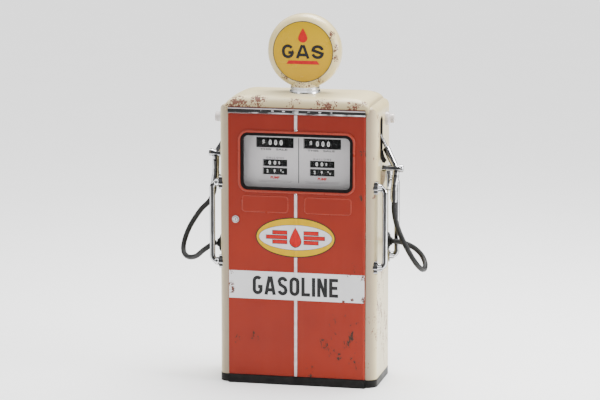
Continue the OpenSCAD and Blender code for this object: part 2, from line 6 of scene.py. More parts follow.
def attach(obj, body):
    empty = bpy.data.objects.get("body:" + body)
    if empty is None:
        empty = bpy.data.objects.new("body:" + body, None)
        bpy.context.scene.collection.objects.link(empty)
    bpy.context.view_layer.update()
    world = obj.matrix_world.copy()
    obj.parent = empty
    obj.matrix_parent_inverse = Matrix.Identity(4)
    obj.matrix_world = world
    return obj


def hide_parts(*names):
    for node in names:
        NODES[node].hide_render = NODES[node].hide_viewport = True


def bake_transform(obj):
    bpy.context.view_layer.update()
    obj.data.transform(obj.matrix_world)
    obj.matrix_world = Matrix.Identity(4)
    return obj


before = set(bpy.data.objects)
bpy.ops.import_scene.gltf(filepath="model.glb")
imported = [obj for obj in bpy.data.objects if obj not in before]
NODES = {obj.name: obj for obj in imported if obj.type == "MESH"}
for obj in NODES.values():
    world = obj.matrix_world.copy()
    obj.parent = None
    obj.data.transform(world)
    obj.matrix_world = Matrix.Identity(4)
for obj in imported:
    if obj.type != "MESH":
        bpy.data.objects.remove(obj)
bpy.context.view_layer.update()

# ------------------------------------------------------------------ camera
cam_data = bpy.data.cameras.new("camera")
cam_data.sensor_width = 36.0
cam_data.lens = 36.0 * 2991.7 / 600.0
cam_data.clip_end = 100.0
cam = bpy.data.objects.new("camera", cam_data)
bpy.context.collection.objects.link(cam)
az, el = math.radians(12.235), math.radians(10.157)
back = Vector((math.sin(az) * math.cos(el), -math.cos(az) * math.cos(el), math.sin(el)))
target = Vector((-0.02525, -0.00548, 0.9111))
cam.location = target + back * 15.1005
cam.rotation_euler = back.to_track_quat("Z", "Y").to_euler()
bpy.context.scene.camera = cam

# ------------------------------------------------------------------ small node helpers


class Mat:
    """One procedural material. The helpers return output sockets."""

    def __init__(self, name):
        self.m = bpy.data.materials.new(name)
        self.m.use_nodes = True
        self.t = self.m.node_tree
        self.t.nodes.clear()
        self.out = self.t.nodes.new("ShaderNodeOutputMaterial")
        self.b = self.t.nodes.new("ShaderNodeBsdfPrincipled")
        self.t.links.new(self.b.outputs[0], self.out.inputs[0])
        self.tc = self.t.nodes.new("ShaderNodeTexCoord").outputs["Object"]

    def put(self, socket, value):
        if isinstance(value, bpy.types.NodeSocket):
            self.t.links.new(value, socket)
        else:
            socket.default_value = value

    def set(self, **kw):
        names = {"color": "Base Color", "rough": "Roughness", "metal": "Metallic", "spec": "Specular IOR Level", "coat": "Coat Weight",
                 "coat_rough": "Coat Roughness", "trans": "Transmission Weight", "ior": "IOR", "sheen": "Sheen Weight", "alpha": "Alpha",
                 "emit": "Emission Color", "emit_s": "Emission Strength", "normal": "Normal", "sub": "Subsurface Weight"}
        for k, v in kw.items():
            self.put(self.b.inputs[names[k]], v)
        return self

    def scale(self, sx, sy, sz, off=(0, 0, 0)):
        n = self.t.nodes.new("ShaderNodeMapping")
        n.inputs["Scale"].default_value = (sx, sy, sz)
        n.inputs["Location"].default_value = off
        self.t.links.new(self.tc, n.inputs["Vector"])
        return n.outputs[0]

    def noise(self, scale, detail=4.0, rough=0.55, vec=None, dist=0.0):
        n = self.t.nodes.new("ShaderNodeTexNoise")
        n.inputs["Scale"].default_value = scale
        n.inputs["Detail"].default_value = detail
        n.inputs["Roughness"].default_value = rough
        n.inputs["Distortion"].default_value = dist
        self.t.links.new(vec if vec is not None else self.tc, n.inputs["Vector"])
        return n.outputs[0]

    def voronoi(self, scale, vec=None, feature="F1"):
        n = self.t.nodes.new("ShaderNodeTexVoronoi")
        n.feature = feature
        n.inputs["Scale"].default_value = scale
        self.t.links.new(vec if vec is not None else self.tc, n.inputs["Vector"])
        return n.outputs["Distance"]

    def wave(self, scale, axis="Z", dist=0.0):
        n = self.t.nodes.new("ShaderNodeTexWave")
        n.bands_direction = axis
        n.inputs["Scale"].default_value = scale
        n.inputs["Distortion"].default_value = dist
        self.t.links.new(self.tc, n.inputs["Vector"])
        return n.outputs["Fac"]

    def math(self, op, a, b=0.0, c=0.0, clamp=False):
        n = self.t.nodes.new("ShaderNodeMath")
        n.operation = op
        n.use_clamp = clamp
        for i, v in enumerate((a, b, c)):
            self.put(n.inputs[i], v)
        return n.outputs[0]

    def ramp(self, fac, lo, hi, a=0.0, b=1.0):
        n = self.t.nodes.new("ShaderNodeMapRange")
        n.clamp = True
        self.put(n.inputs["Value"], fac)
        n.inputs["From Min"].default_value = lo
        n.inputs["From Max"].default_value = hi
        n.inputs["To Min"].default_value = a
        n.inputs["To Max"].default_value = b
        return n.outputs[0]

    def mix(self, fac, a, b, blend="MIX"):
        n = self.t.nodes.new("ShaderNodeMix")
        n.data_type = "RGBA"
        n.blend_type = blend
        self.put(n.inputs[0], fac)
        for s, v in ((n.inputs[6], a), (n.inputs[7], b)):
            self.put(s, (*v, 1.0) if isinstance(v, tuple) and len(v) == 3 else v)
        return n.outputs[2]

    def bump(self, height, strength=0.2, dist=0.001, normal=None):
        n = self.t.nodes.new("ShaderNodeBump")
        n.inputs["Strength"].default_value = strength
        n.inputs["Distance"].default_value = dist
        self.put(n.inputs["Height"], height)
        if normal is not None:
            self.put(n.inputs["Normal"], normal)
        return n.outputs[0]

    def near(self, c, r, squash=(1, 1, 1)):
        """1 at the point c, 0 beyond r."""
        v = self.t.nodes.new("ShaderNodeVectorMath")
        v.operation = "SUBTRACT"
        self.t.links.new(self.tc, v.inputs[0])
        v.inputs[1].default_value = c
        w = self.t.nodes.new("ShaderNodeVectorMath")
        w.operation = "MULTIPLY"
        self.t.links.new(v.outputs[0], w.inputs[0])
        w.inputs[1].default_value = squash
        l = self.t.nodes.new("ShaderNodeVectorMath")
        l.operation = "LENGTH"
        self.t.links.new(w.outputs[0], l.inputs[0])
        return self.ramp(l.outputs["Value"], r * 0.3, r, 1.0, 0.0)

    def sep(self):
        n = self.t.nodes.new("ShaderNodeSeparateXYZ")
        self.t.links.new(self.tc, n.inputs[0])
        return n.outputs


def worn_paint(name, base, light, rust=(0.2, 0.045, 0.02), spots=(), rough=0.34, specks=0.0, grime=(0.2, 0.15, 0.1), grime_amt=0.22, size=150.0, soft=0.04, coat=0.25, stretch=(1, 1, 1), spec=0.5, front_shade=None, fade=None, shoulder_shade=None):
    """Enamel with slow changes of tone, runs of grime, and rust that gathers round the given spots. Optional painted
    shade: one colour darkens the faces turned to the front, another the faces that turn away from the top.
    """
    m = Mat(name)
    tone = m.ramp(m.noise(2.6, 3.0), 0.35, 0.65)
    col = m.mix(tone, base, light)
    if fade:
        col = m.mix(m.ramp(m.sep()[2], 0.5, 1.38, 0.0, 0.8), col, fade)
    runs = m.ramp(m.noise(1.0, 5.0, 0.6, m.scale(16, 16, 1.6)), 0.5, 0.78)
    col = m.mix(m.math("MULTIPLY", runs, grime_amt), col, grime)
    mask = None
    for s in spots:
        c, r, power = s[:3]
        d = m.math("MULTIPLY", m.near(c, r, s[3] if len(s) > 3 else (1, 1, 1)), power)
        mask = d if mask is None else m.math("MAXIMUM", mask, d)
    vec = m.scale(*stretch)
    flakes = m.noise(size, 6.0, 0.62, vec, dist=0.4)
    patch = m.noise(size * 0.22, 3.0, 0.5, vec)
    grain = m.math("ADD", m.math("MULTIPLY", flakes, 0.6), m.math("MULTIPLY", patch, 0.4))
    if mask is not None:
        grain = m.math("ADD", grain, m.math("MULTIPLY", m.math("SUBTRACT", mask, 1.0), 0.3))
        chip = m.ramp(grain, 0.5, 0.5 + soft)
    else:
        chip = m.ramp(grain, 0.99, 1.0)
    if specks:
        s2 = m.ramp(m.math("ADD", m.noise(size * 1.7, 2.0, 0.4), m.math("MULTIPLY", m.noise(3.5, 2.0), 0.25)), 0.86 - specks, 0.9 - specks)
        chip = m.math("MAXIMUM", chip, s2)
    rusty = m.mix(m.ramp(m.noise(420, 3.0), 0.35, 0.65), rust, tuple(v * 0.45 for v in rust))
    col = m.mix(chip, col, rusty)
    rough_s = m.ramp(chip, 0.0, 1.0, rough, 0.75)
    height = m.math("SUBTRACT", m.math("MULTIPLY", m.noise(60, 2.0), 0.12), chip)
    # painted shade: faces turned to the front (large |normal y|) take the first colour, faces turning away from the
    # top (small normal z) the second; chipped spots keep their own colour
    if front_shade:
        tn = m.t.nodes.new("ShaderNodeTexCoord")
        sn = m.t.nodes.new("ShaderNodeSeparateXYZ")
        m.t.links.new(tn.outputs["Normal"], sn.inputs[0])
        front = m.ramp(m.math("ABSOLUTE", sn.outputs[1]), 0.35, 0.92)
        front = m.math("MULTIPLY", front, m.ramp(chip, 0.0, 1.0, 0.75, 0.0))
        col = m.mix(front, col, front_shade)
        if shoulder_shade:
            low = m.math("MULTIPLY", m.ramp(sn.outputs[2], 0.45, 0.96, 0.9, 0.0), m.ramp(chip, 0.0, 1.0, 1.0, 0.0))
            col = m.mix(low, col, shoulder_shade)
    m.set(color=col, rough=rough_s, normal=m.bump(height, 0.35, 0.0012), coat=coat, coat_rough=0.18, spec=spec)
    return m.m


def metal(name, col, dark, rough=0.12, dirt=0.25, brushed=None, scale=30.0):
    m = Mat(name)
    n = m.ramp(m.noise(scale, 5.0, 0.65), 0.42, 0.72)
    c = m.mix(m.math("MULTIPLY", n, dirt), col, dark)
    pits = m.ramp(m.noise(scale * 9, 2.0), 0.72, 0.8)
    c = m.mix(m.math("MULTIPLY", pits, dirt * 1.6, clamp=True), c, tuple(v * 0.4 for v in dark))
    r = m.math("ADD", m.ramp(n, 0.0, 1.0, rough, rough + 0.25), m.math("MULTIPLY", pits, 0.3))
    if brushed:
        streak = m.noise(1.0, 3.0, 0.6, m.scale(*brushed))
        nrm = m.bump(streak, 0.25, 0.0004)
    else:
        nrm = m.bump(m.noise(scale * 3, 2.0), 0.08, 0.0006)
    m.set(color=c, metal=1.0, rough=r, normal=nrm)
    return m.m


def streaked(name, col, dark, rough=0.06, dirt=0.3, reflection_stops=None, lean=-0.2):
    """Bright plating with painted reflection: dark and bright bands lie along it where a round piece turns away from
    the view, standing in for the studio seen in the metal.
    """
    m = Mat(name)
    lw = m.t.nodes.new("ShaderNodeLayerWeight")
    lw.inputs["Blend"].default_value = 0.5
    tcn = m.t.nodes.new("ShaderNodeTexCoord")
    sp_ = m.t.nodes.new("ShaderNodeSeparateXYZ")
    m.t.links.new(tcn.outputs["Normal"], sp_.inputs[0])
    # painted reflection: the facing value, leaned by the normal's x, picks dark and bright bands from the ramp below
    f = m.math("ADD", lw.outputs["Facing"], m.math("MULTIPLY", sp_.outputs[0], lean))
    f = m.math("ADD", f, m.math("MULTIPLY", m.math("SUBTRACT", m.noise(14, 3.0), 0.5), 0.12))
    r = m.t.nodes.new("ShaderNodeValToRGB")
    m.t.links.new(f, r.inputs[0])
    e = r.color_ramp.elements
    reflection_stops = reflection_stops or ((0.0, 0.9), (0.02, 0.8), (0.045, 0.06), (0.19, 0.035), (0.25, 0.45), (0.33, 0.95), (0.50, 0.8), (0.62, 0.10), (0.99, 0.2))
    e[0].position, e[1].position = reflection_stops[0][0], reflection_stops[-1][0]
    e[0].color = (reflection_stops[0][1],) * 3 + (1,)
    e[1].color = (reflection_stops[-1][1],) * 3 + (1,)
    for pos, v in reflection_stops[1:-1]:
        q = e.new(pos)
        q.color = (v, v, v, 1)
    n = m.ramp(m.noise(30, 5.0, 0.65), 0.42, 0.72)
    base = m.mix(m.math("MULTIPLY", n, dirt), col, dark)
    pits = m.ramp(m.noise(260, 2.0), 0.72, 0.8)
    base = m.mix(m.math("MULTIPLY", pits, dirt * 1.6, clamp=True), base, tuple(v * 0.4 for v in dark))
    c = m.mix(1.0, base, r.outputs[0], "MULTIPLY")
    rr = m.math("ADD", m.ramp(n, 0.0, 1.0, rough, rough + 0.12), m.math("MULTIPLY", pits, 0.3))
    m.set(color=c, metal=1.0, rough=rr, normal=m.bump(m.noise(90, 2.0), 0.08, 0.0006))
    return m.m


def plain(name, col, col2, rough=0.5, scale=60.0, metal_=0.0, bump=0.2, spec=0.5, coat=0.0, detail=4.0):
    m = Mat(name)
    n = m.noise(scale, detail)
    c = m.mix(m.ramp(n, 0.35, 0.65), col, col2)
    r = m.ramp(m.noise(scale * 0.4, 3.0), 0.3, 0.7, rough * 0.85, min(1.0, rough * 1.2))
    m.set(color=c, rough=r, metal=metal_, normal=m.bump(m.noise(scale * 4, 3.0), bump, 0.0006), spec=spec, coat=coat)
    return m.m


DOOR_Y = -0.2055
orange_spots = [((0.30, DOOR_Y, 0.25), 0.16, 0.87), ((0.16, DOOR_Y, 0.22), 0.10, 0.86), ((0.25, DOOR_Y, 0.31), 0.20, 0.82), ((0.30, DOOR_Y, 0.12), 0.10, 0.86), ((0.145, DOOR_Y, 0.235), 0.035, 1.0), ((0.07, DOOR_Y, 0.09), 0.09, 0.84), ((0.07, DOOR_Y, 0.055), 0.025, 1.02), ((0.27, DOOR_Y, 0.38), 0.09, 0.80),
                ((0.262, DOOR_Y, 0.355), 0.02, 1.05), ((0.31, DOOR_Y, 0.62), 0.10, 0.80), ((0.30, DOOR_Y, 0.17), 0.03, 1.03), ((-0.33, DOOR_Y, 0.95), 0.07, 0.86), ((-0.34, DOOR_Y, 1.0), 0.03, 0.95), ((0.20, DOOR_Y, 0.17), 0.10, 0.78),
                ((0.322, DOOR_Y, 0.965), 0.04, 1.02), ((-0.30, DOOR_Y, 0.22), 0.06, 0.80), ((-0.22, DOOR_Y, 0.24), 0.07, 0.78), ((0.345, DOOR_Y, 1.2), 0.05, 0.85), ((-0.347, DOOR_Y, 0.5), 0.05, 0.85)]
rear_orange = [((-x, -y, z), r, p) for (x, y, z), r, p in orange_spots]
band_spots = [((-0.335, DOOR_Y, 0.50), 0.06, 1.1, (1.6, 1, 0.7)), ((-0.34, DOOR_Y, 0.575), 0.04, 1.0), ((0.345, DOOR_Y, 0.455), 0.03, 1.05),
              ((0.27, DOOR_Y, 0.575), 0.03, 0.9), ((0.24, DOOR_Y, 0.44), 0.015, 1.0), ((0.33, DOOR_Y, 0.57), 0.05, 0.86), ((0.285, DOOR_Y, 0.452), 0.018, 1.12)]
roof_spots = [((-0.30, -0.20, 1.425), 0.13, 1.12, (1, 1, 1.6)), ((-0.20, -0.19, 1.435), 0.11, 1.08), ((-0.02, -0.20, 1.44), 0.10, 0.93), ((0.12, -0.2, 1.42), 0.09, 1.05), ((0.17, -0.2, 1.43), 0.08, 1.0),
              ((0.28, -0.2, 1.425), 0.08, 1.05), ((0.33, -0.18, 1.43), 0.06, 1.0), ((0.30, 0.20, 1.425), 0.13, 1.08), ((0.15, 0.19, 1.435), 0.10, 1.0), ((-0.2, 0.2, 1.42), 0.12, 1.03), ((-0.33, 0.16, 1.43), 0.08, 1.0)]
panel_spots = [((0.395, -0.15, 1.36), 0.08, 0.86), ((0.40, -0.17, 1.165), 0.045, 0.98), ((0.385, -0.175, 0.97), 0.03, 1.0), ((0.39, -0.175, 1.04), 0.025, 1.02), ((0.40, -0.05, 1.05), 0.10, 0.82), ((0.40, -0.13, 0.50), 0.10, 0.84, (1, 1, 0.6)),
               ((0.40, -0.10, 0.35), 0.22, 0.90, (1, 1, 0.6)), ((0.40, 0.05, 0.22), 0.20, 0.90, (1, 1, 0.6)), ((0.40, -0.02, 0.52), 0.12, 0.93, (1, 1, 0.6)), ((0.40, -0.12, 1.27), 0.08, 0.84), ((0.401, -0.145, 0.52), 0.03, 0.98, (1, 1, 0.4)), ((0.36, -0.19, 0.12), 0.05, 0.9)]
rear_panel = [((-x, -y, z), r, p, *q) for (x, y, z), r, p, *q in panel_spots]

CREAM, CREAM2 = (0.46, 0.375, 0.185), (0.54, 0.455, 0.245)
M = {}
M["orange_front"] = worn_paint("orange_paint_front", (0.178, 0.0085, 0.0003), (0.215, 0.0115, 0.0006), rust=(0.042, 0.026, 0.018), spots=orange_spots, rough=0.3, size=95, grime_amt=0.1, coat=0.0, spec=0.22, stretch=(1, 1, 0.55), fade=(0.128, 0.0052, 0.0001), grime=(0.25, 0.03, 0.015))
M["orange_rear"] = worn_paint("orange_paint_rear", (0.178, 0.0085, 0.0003), (0.215, 0.0115, 0.0006), rust=(0.042, 0.026, 0.018), spots=rear_orange, rough=0.3, size=95, grime_amt=0.1, coat=0.0, spec=0.22, stretch=(1, 1, 0.55), fade=(0.128, 0.0052, 0.0001), grime=(0.25, 0.03, 0.015))
# the roof's cream is lighter than the side panels': painted light on its top; its front faces and shoulders take
# painted shade
M["cream_roof"] = worn_paint("cream_paint_roof", (0.56, 0.47, 0.25), (0.64, 0.55, 0.32), spots=roof_spots, size=120, soft=0.012, rust=(0.115, 0.026, 0.006), rough=0.4, grime_amt=0.08, front_shade=(0.26, 0.21, 0.11), shoulder_shade=(0.33, 0.265, 0.135))
# the side panels' faces turned to the front take a painted shade
M["cream_right"] = worn_paint("cream_paint_right", CREAM, CREAM2, spots=panel_spots, size=150, rust=(0.16, 0.05, 0.03), rough=0.38, grime_amt=0.16, grime=(0.27, 0.2, 0.10), stretch=(1, 1, 0.5), front_shade=(0.165, 0.118, 0.092))
M["cream_left"] = worn_paint("cream_paint_left", CREAM, CREAM2, spots=rear_panel, size=150, rust=(0.16, 0.05, 0.03), rough=0.38, grime_amt=0.16, grime=(0.27, 0.2, 0.10), stretch=(1, 1, 0.5), front_shade=(0.165, 0.118, 0.092))
M["globe"] = worn_paint("globe_ivory", (0.47, 0.38, 0.17), (0.55, 0.45, 0.22), spots=[((0.15, -0.05, 1.76), 0.06, 1.0), ((0.17, -0.05, 1.64), 0.05, 1.05), ((0.16, -0.05, 1.69), 0.05, 0.98), ((-0.1, -0.05, 1.53), 0.06, 1.0), ((0.0, -0.05, 1.505), 0.08, 1.04, (0.6, 1, 1.6)),
    ((0.09, -0.05, 1.53), 0.05, 1.0), ((-0.15, 0.05, 1.72), 0.07, 1.0), ((0.05, 0.05, 1.51), 0.08, 1.02)], size=170, soft=0.012, rust=(0.115, 0.027, 0.007), rough=0.32, grime_amt=0.08, coat=0.4)
M["band_white"] = worn_paint("band_white", (0.50, 0.50, 0.51), (0.56, 0.56, 0.57), spots=band_spots + [((-x, -y, z), r, p) for (x, y, z), r, p, *_ in band_spots], size=120, soft=0.012, rust=(0.115, 0.024, 0.010), rough=0.4, grime_amt=0.06)
# the plated parts below take painted reflection bands
M["chrome"] = streaked("bright_chrome", (0.86, 0.86, 0.88), (0.30, 0.29, 0.28))
M["bar_chrome"] = streaked("bar_chrome", (0.86, 0.86, 0.88), (0.30, 0.29, 0.28),
    reflection_stops=((0.0, 0.12), (0.03, 0.045), (0.125, 0.05), (0.155, 0.30), (0.20, 0.80), (0.32, 0.92), (0.42, 0.50), (0.54, 0.18), (0.99, 0.12)), lean=0.09)
M["collar"] = metal("collar_silver", (0.60, 0.61, 0.63), (0.26, 0.26, 0.27), rough=0.2, dirt=0.35, scale=40)
M["chrome_dull"] = metal("worn_chrome", (0.46, 0.44, 0.44), (0.14, 0.12, 0.12), rough=0.2, dirt=0.8, scale=110)
M["strip"] = streaked("strip_silver", (0.52, 0.46, 0.47), (0.26, 0.22, 0.22), rough=0.3, dirt=0.5, reflection_stops=((0.0, 0.95), (0.30, 0.9), (0.5, 0.5), (0.9, 0.25)), lean=0.25)
M["steel"] = streaked("spout_steel", (0.75, 0.75, 0.76), (0.25, 0.24, 0.23), rough=0.16, dirt=0.4)
M["dial"] = plain("dial_silver", (0.34, 0.325, 0.33), (0.39, 0.375, 0.38), rough=0.42, scale=4, bump=0.05, metal_=0.15)
M["black"] = plain("black_enamel", (0.004, 0.004, 0.004), (0.010, 0.0095, 0.009), rough=0.42, scale=40, bump=0.25, spec=0.12)
M["pale_glass"] = plain("sight_glass_pale", (0.40, 0.36, 0.345), (0.50, 0.46, 0.445), rough=0.12, scale=30, bump=0.03, coat=0.6)
# lighter orange for the beads: partly edge wear, partly painted highlight
M["orange_edge_wear_highlight"] = plain("orange_edge_wear_highlight", (0.20, 0.014, 0.003), (0.235, 0.02, 0.005), rough=0.3, scale=60, bump=0.05, spec=0.35)
M["gasket"] = plain("black_gasket", (0.003, 0.002, 0.002), (0.006, 0.004, 0.004), rough=0.35, scale=80, spec=0.08)
M["hole"] = plain("pocket_black", (0.003, 0.003, 0.003), (0.006, 0.006, 0.006), rough=0.8, scale=50, spec=0.15)
M["wheel"] = plain("wheel_black", (0.0008, 0.0008, 0.0008), (0.002, 0.002, 0.002), rough=0.7, scale=90, bump=0.1, spec=0.1)
M["digit"] = plain("figure_white", (0.50, 0.50, 0.49), (0.60, 0.60, 0.59), rough=0.5, scale=300, bump=0.05)
M["ink"] = plain("ink_black", (0.004, 0.004, 0.004), (0.009, 0.009, 0.009), rough=0.5, scale=120, bump=0.1, spec=0.25)
M["ink_grey"] = plain("ink_grey", (0.03, 0.028, 0.028), (0.06, 0.055, 0.055), rough=0.5, scale=200, bump=0.1)
M["red"] = plain("sign_red", (0.34, 0.004, 0.003), (0.40, 0.006, 0.005), rough=0.4, scale=50, bump=0.1, spec=0.2)
M["yellow"] = plain("sign_yellow", (0.42, 0.255, 0.0), (0.46, 0.285, 0.0), rough=0.38, scale=30, bump=0.1, spec=0.12)
M["sign_white"] = plain("sign_white", (0.47, 0.46, 0.48), (0.52, 0.51, 0.53), rough=0.42, scale=30, bump=0.1)
M["rust_line"] = plain("dark_red_line", (0.10, 0.02, 0.015), (0.16, 0.03, 0.02), rough=0.6, scale=90)
M["frame"] = plain("grey_primer", (0.10, 0.105, 0.105), (0.16, 0.155, 0.15), rough=0.6, scale=30)
M["computer"] = plain("computer_grey", (0.0014, 0.0014, 0.0015), (0.0036, 0.0037, 0.0038), rough=0.6, scale=35, spec=0.15)
M["cast"] = plain("cast_brown", (0.13, 0.10, 0.08), (0.21, 0.17, 0.135), rough=0.65, scale=45, bump=0.5)
M["motor"] = plain("motor_grey", (0.07, 0.085, 0.09), (0.11, 0.125, 0.13), rough=0.5, scale=45, bump=0.3)
M["pipe"] = metal("galvanised_pipe", (0.42, 0.43, 0.44), (0.2, 0.19, 0.17), rough=0.4, dirt=0.6)
M["lamp"] = plain("lamp_opal", (0.8, 0.78, 0.7), (0.86, 0.84, 0.76), rough=0.3, scale=20, bump=0.02)
# the lens is opal glass, painted behind; a slow change of tone runs from top to bottom
m = Mat("lens_yellow")
z = m.sep()[2]
tone = m.ramp(z, 1.52, 1.83)
col = m.mix(tone, (0.42, 0.235, 0.0), (0.40, 0.25, 0.0))
col = m.mix(m.ramp(m.noise(5, 4.0), 0.35, 0.7, 0.0, 0.35), col, (0.47, 0.29, 0.0))
m.set(color=col, rough=m.ramp(m.noise(12, 3.0), 0.3, 0.7, 0.2, 0.3), coat=0.0, spec=0.2, normal=m.bump(m.noise(25, 2.0), 0.04, 0.001))
M["lens"] = m.m
m = Mat("window_glass")
m.set(color=(0.3, 0.32, 0.32, 1), rough=m.ramp(m.noise(14, 4.0), 0.4, 0.7, 0.02, 0.12), trans=0.0, alpha=m.ramp(m.noise(9, 4.0), 0.3, 0.8, 0.006, 0.018), spec=0.3)
M["glass"] = m.m
# woven cover on the hose
m = Mat("hose_rubber")
weave = m.wave(420, "DIAGONAL")
c = m.mix(m.ramp(m.noise(22, 4.0), 0.4, 0.7), (0.004, 0.004, 0.004), (0.012, 0.0115, 0.011))
m.set(color=c, rough=m.ramp(m.noise(30, 3.0), 0.3, 0.7, 0.38, 0.55), normal=m.bump(m.math("ADD", m.math("MULTIPLY", weave, 0.4), m.noise(160, 3.0)), 0.35, 0.0006), spec=0.25)
M["hose"] = m.m


def dress(node, key):
    o = NODES[node]
    o.data.materials.clear()
    o.data.materials.append(M[key])


DRESS = {"base_tray": "black", "frame_uprights": "frame", "frame_rails": "frame", "right_side_panel": "cream_right", "left_side_panel": "cream_left", "roof_cap": "cream_roof",
         "chrome_bands": "chrome", "front_door": "orange_front", "rear_door": "orange_rear", "front_door_strips": "strip", "rear_door_strips": "strip",
         "front_window_gasket": "gasket", "rear_window_gasket": "gasket", "front_window_glass": "glass", "rear_window_glass": "glass", "front_lock": "chrome_dull", "rear_lock": "chrome_dull",
         "dial_plates": "dial", "globe_body": "globe", "globe_lenses": "lens", "globe_collar": "collar", "globe_lamp": "lamp", "guard_rails": "bar_chrome", "nozzle_boots": "hole",
         "nozzle_rests": "cream_right", "sight_glasses": "pale_glass", "hose_outlets": "black", "right_hose_swivel": "bar_chrome", "left_hose_swivel": "bar_chrome", "right_nozzle_body": "bar_chrome",
         "left_nozzle_body": "bar_chrome", "right_nozzle_spout": "steel", "left_nozzle_spout": "steel", "right_nozzle_lever": "black", "left_nozzle_lever": "black",
         "right_switch_lever": "black", "left_switch_lever": "black", "right_computer": "computer", "left_computer": "computer", "meters": "cast", "right_meter_shaft": "pipe",
         "left_meter_shaft": "pipe", "pipework": "pipe", "motor": "motor", "motor_pulley": "frame", "drive_belt": "gasket", "pumping_unit": "cast", "pump_pulley": "frame",
         "junction_box": "frame", "dial_lamps": "lamp"}
for n in NODES:
    if "wheels" in n:
        DRESS[n] = "wheel"
for n, k in DRESS.items():
    if n in NODES:
        dress(n, k)

# ------------------------------------------------------------------ mesh helpers


def add(name, verts, faces, key, body, smooth=True):
    me = bpy.data.meshes.new(name)
    me.from_pydata([tuple(v) for v in verts], [], [tuple(f) for f in faces])
    me.validate()
    bm = bmesh.new()
    bm.from_mesh(me)
    bmesh.ops.recalc_face_normals(bm, faces=bm.faces)
    bm.to_mesh(me)
    bm.free()
    return wrap(name, me, key, body, smooth)


def wrap(name, me, key, body, smooth=True):
    o = bpy.data.objects.new(name, me)
    bpy.context.collection.objects.link(o)
    me.materials.clear()
    me.materials.append(M[key])
    if smooth:
        me.shade_smooth()
        try:
            me.set_sharp_from_angle(angle=math.radians(38))
        except Exception:
            pass
    if body:
        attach(o, body)
    return o


def half(v):
    """The same point after half a turn about Z."""
    return (-v[0], -v[1], v[2])


def rotz(verts):
    return [half(v) for v in verts]


def catmull(p, k):
    p = [np.array(q, float) for q in p]
    out = []
    for i in range(len(p) - 1):
        a = p[i - 1] if i > 0 else 2 * p[0] - p[1]
        b, c = p[i], p[i + 1]
        d = p[i + 2] if i + 2 < len(p) else 2 * p[i + 1] - p[i]
        for j in range(k):
            t = j / k
            out.append(0.5 * (2 * b + (c - a) * t + (2 * a - 5 * b + 4 * c - d) * t * t + (3 * b - a - 3 * c + d) * t ** 3))
    out.append(p[-1])
    return np.array(out)


def tube(path, radii, sides=16, caps=True, closed=False):
    path = np.array(path, float)
    n = len(path)
    radii = np.full(n, radii) if np.isscalar(radii) else np.array(radii)
    if closed:
        t = np.roll(path, -1, 0) - np.roll(path, 1, 0)
    else:
        t = np.gradient(path, axis=0)
    t /= np.linalg.norm(t, axis=1)[:, None]
    ref = np.array([0, 1, 0.001]) if abs(t[0][1]) < 0.9 else np.array([1, 0, 0.001])
    nrm = ref - ref @ t[0] * t[0]
    nrm /= np.linalg.norm(nrm)
    verts, faces = [], []
    for i in range(n):
        nrm = nrm - (nrm @ t[i]) * t[i]
        nrm /= np.linalg.norm(nrm)
        b = np.cross(t[i], nrm)
        for j in range(sides):
            a = 2 * math.pi * j / sides
            verts.append(path[i] + radii[i] * (math.cos(a) * nrm + math.sin(a) * b))
    for i in range(n if closed else n - 1):
        for j in range(sides):
            k = (i + 1) % n
            faces.append((i * sides + j, i * sides + (j + 1) % sides, k * sides + (j + 1) % sides, k * sides + j))
    if caps and not closed:
        faces.append(tuple(range(sides))[::-1])
        faces.append(tuple((n - 1) * sides + j for j in range(sides)))
    return verts, faces


def rounded(x0, x1, z0, z1, r, k=8):
    """Outline of a rounded rectangle, counter-clockwise, in x and z."""
    pts = []
    for cx, cz, a0 in ((x1 - r, z0 + r, -90), (x1 - r, z1 - r, 0), (x0 + r, z1 - r, 90), (x0 + r, z0 + r, 180)):
        for i in range(k + 1):
            a = math.radians(a0 + 90 * i / k)
            pts.append((cx + r * math.cos(a), cz + r * math.sin(a)))
    return pts


def ellipse(cx, cz, a, b, k=96):
    return [(cx + a * math.cos(2 * math.pi * i / k), cz + b * math.sin(2 * math.pi * i / k)) for i in range(k)]


def slab(outline, y0, y1):
    """A flat plate whose outline is in x and z, from y0 (front) to y1."""
    n = len(outline)
    verts = [(x, y0, z) for x, z in outline] + [(x, y1, z) for x, z in outline]
    faces = [tuple(range(n)), tuple(range(2 * n - 1, n - 1, -1))] + [(i, (i + 1) % n, n + (i + 1) % n, n + i) for i in range(n)]
    return verts, faces


def frame_slab(outer, inner, y0, y1):
    n = len(outer)
    verts = [(x, y0, z) for x, z in outer] + [(x, y0, z) for x, z in inner] + [(x, y1, z) for x, z in outer] + [(x, y1, z) for x, z in inner]
    faces = []
    for i in range(n):
        j = (i + 1) % n
        faces += [(i, j, n + j, n + i), (2 * n + i, 3 * n + i, 3 * n + j, 2 * n + j), (i, 2 * n + i, 2 * n + j, j), (n + i, n + j, 3 * n + j, 3 * n + i)]
    return verts, faces


def revolve(profile, k=64):
    """profile: (radius, height) pairs, turned about Z."""
    verts, faces = [], []
    n = len(profile)
    for i in range(k):
        a = 2 * math.pi * i / k
        for r, h in profile:
            verts.append((r * math.cos(a), r * math.sin(a), h))
    for i in range(k):
        for j in range(n - 1):
            a, b = i * n, ((i + 1) % k) * n
            faces.append((a + j, b + j, b + j + 1, a + j + 1))
    if profile[0][0] > 1e-6:
        faces.append(tuple(i * n for i in range(k))[::-1])
    if profile[-1][0] > 1e-6:
        faces.append(tuple(i * n + n - 1 for i in range(k)))
    return verts, faces


def place(verts, mat):
    return [tuple(mat @ Vector(v)) for v in verts]


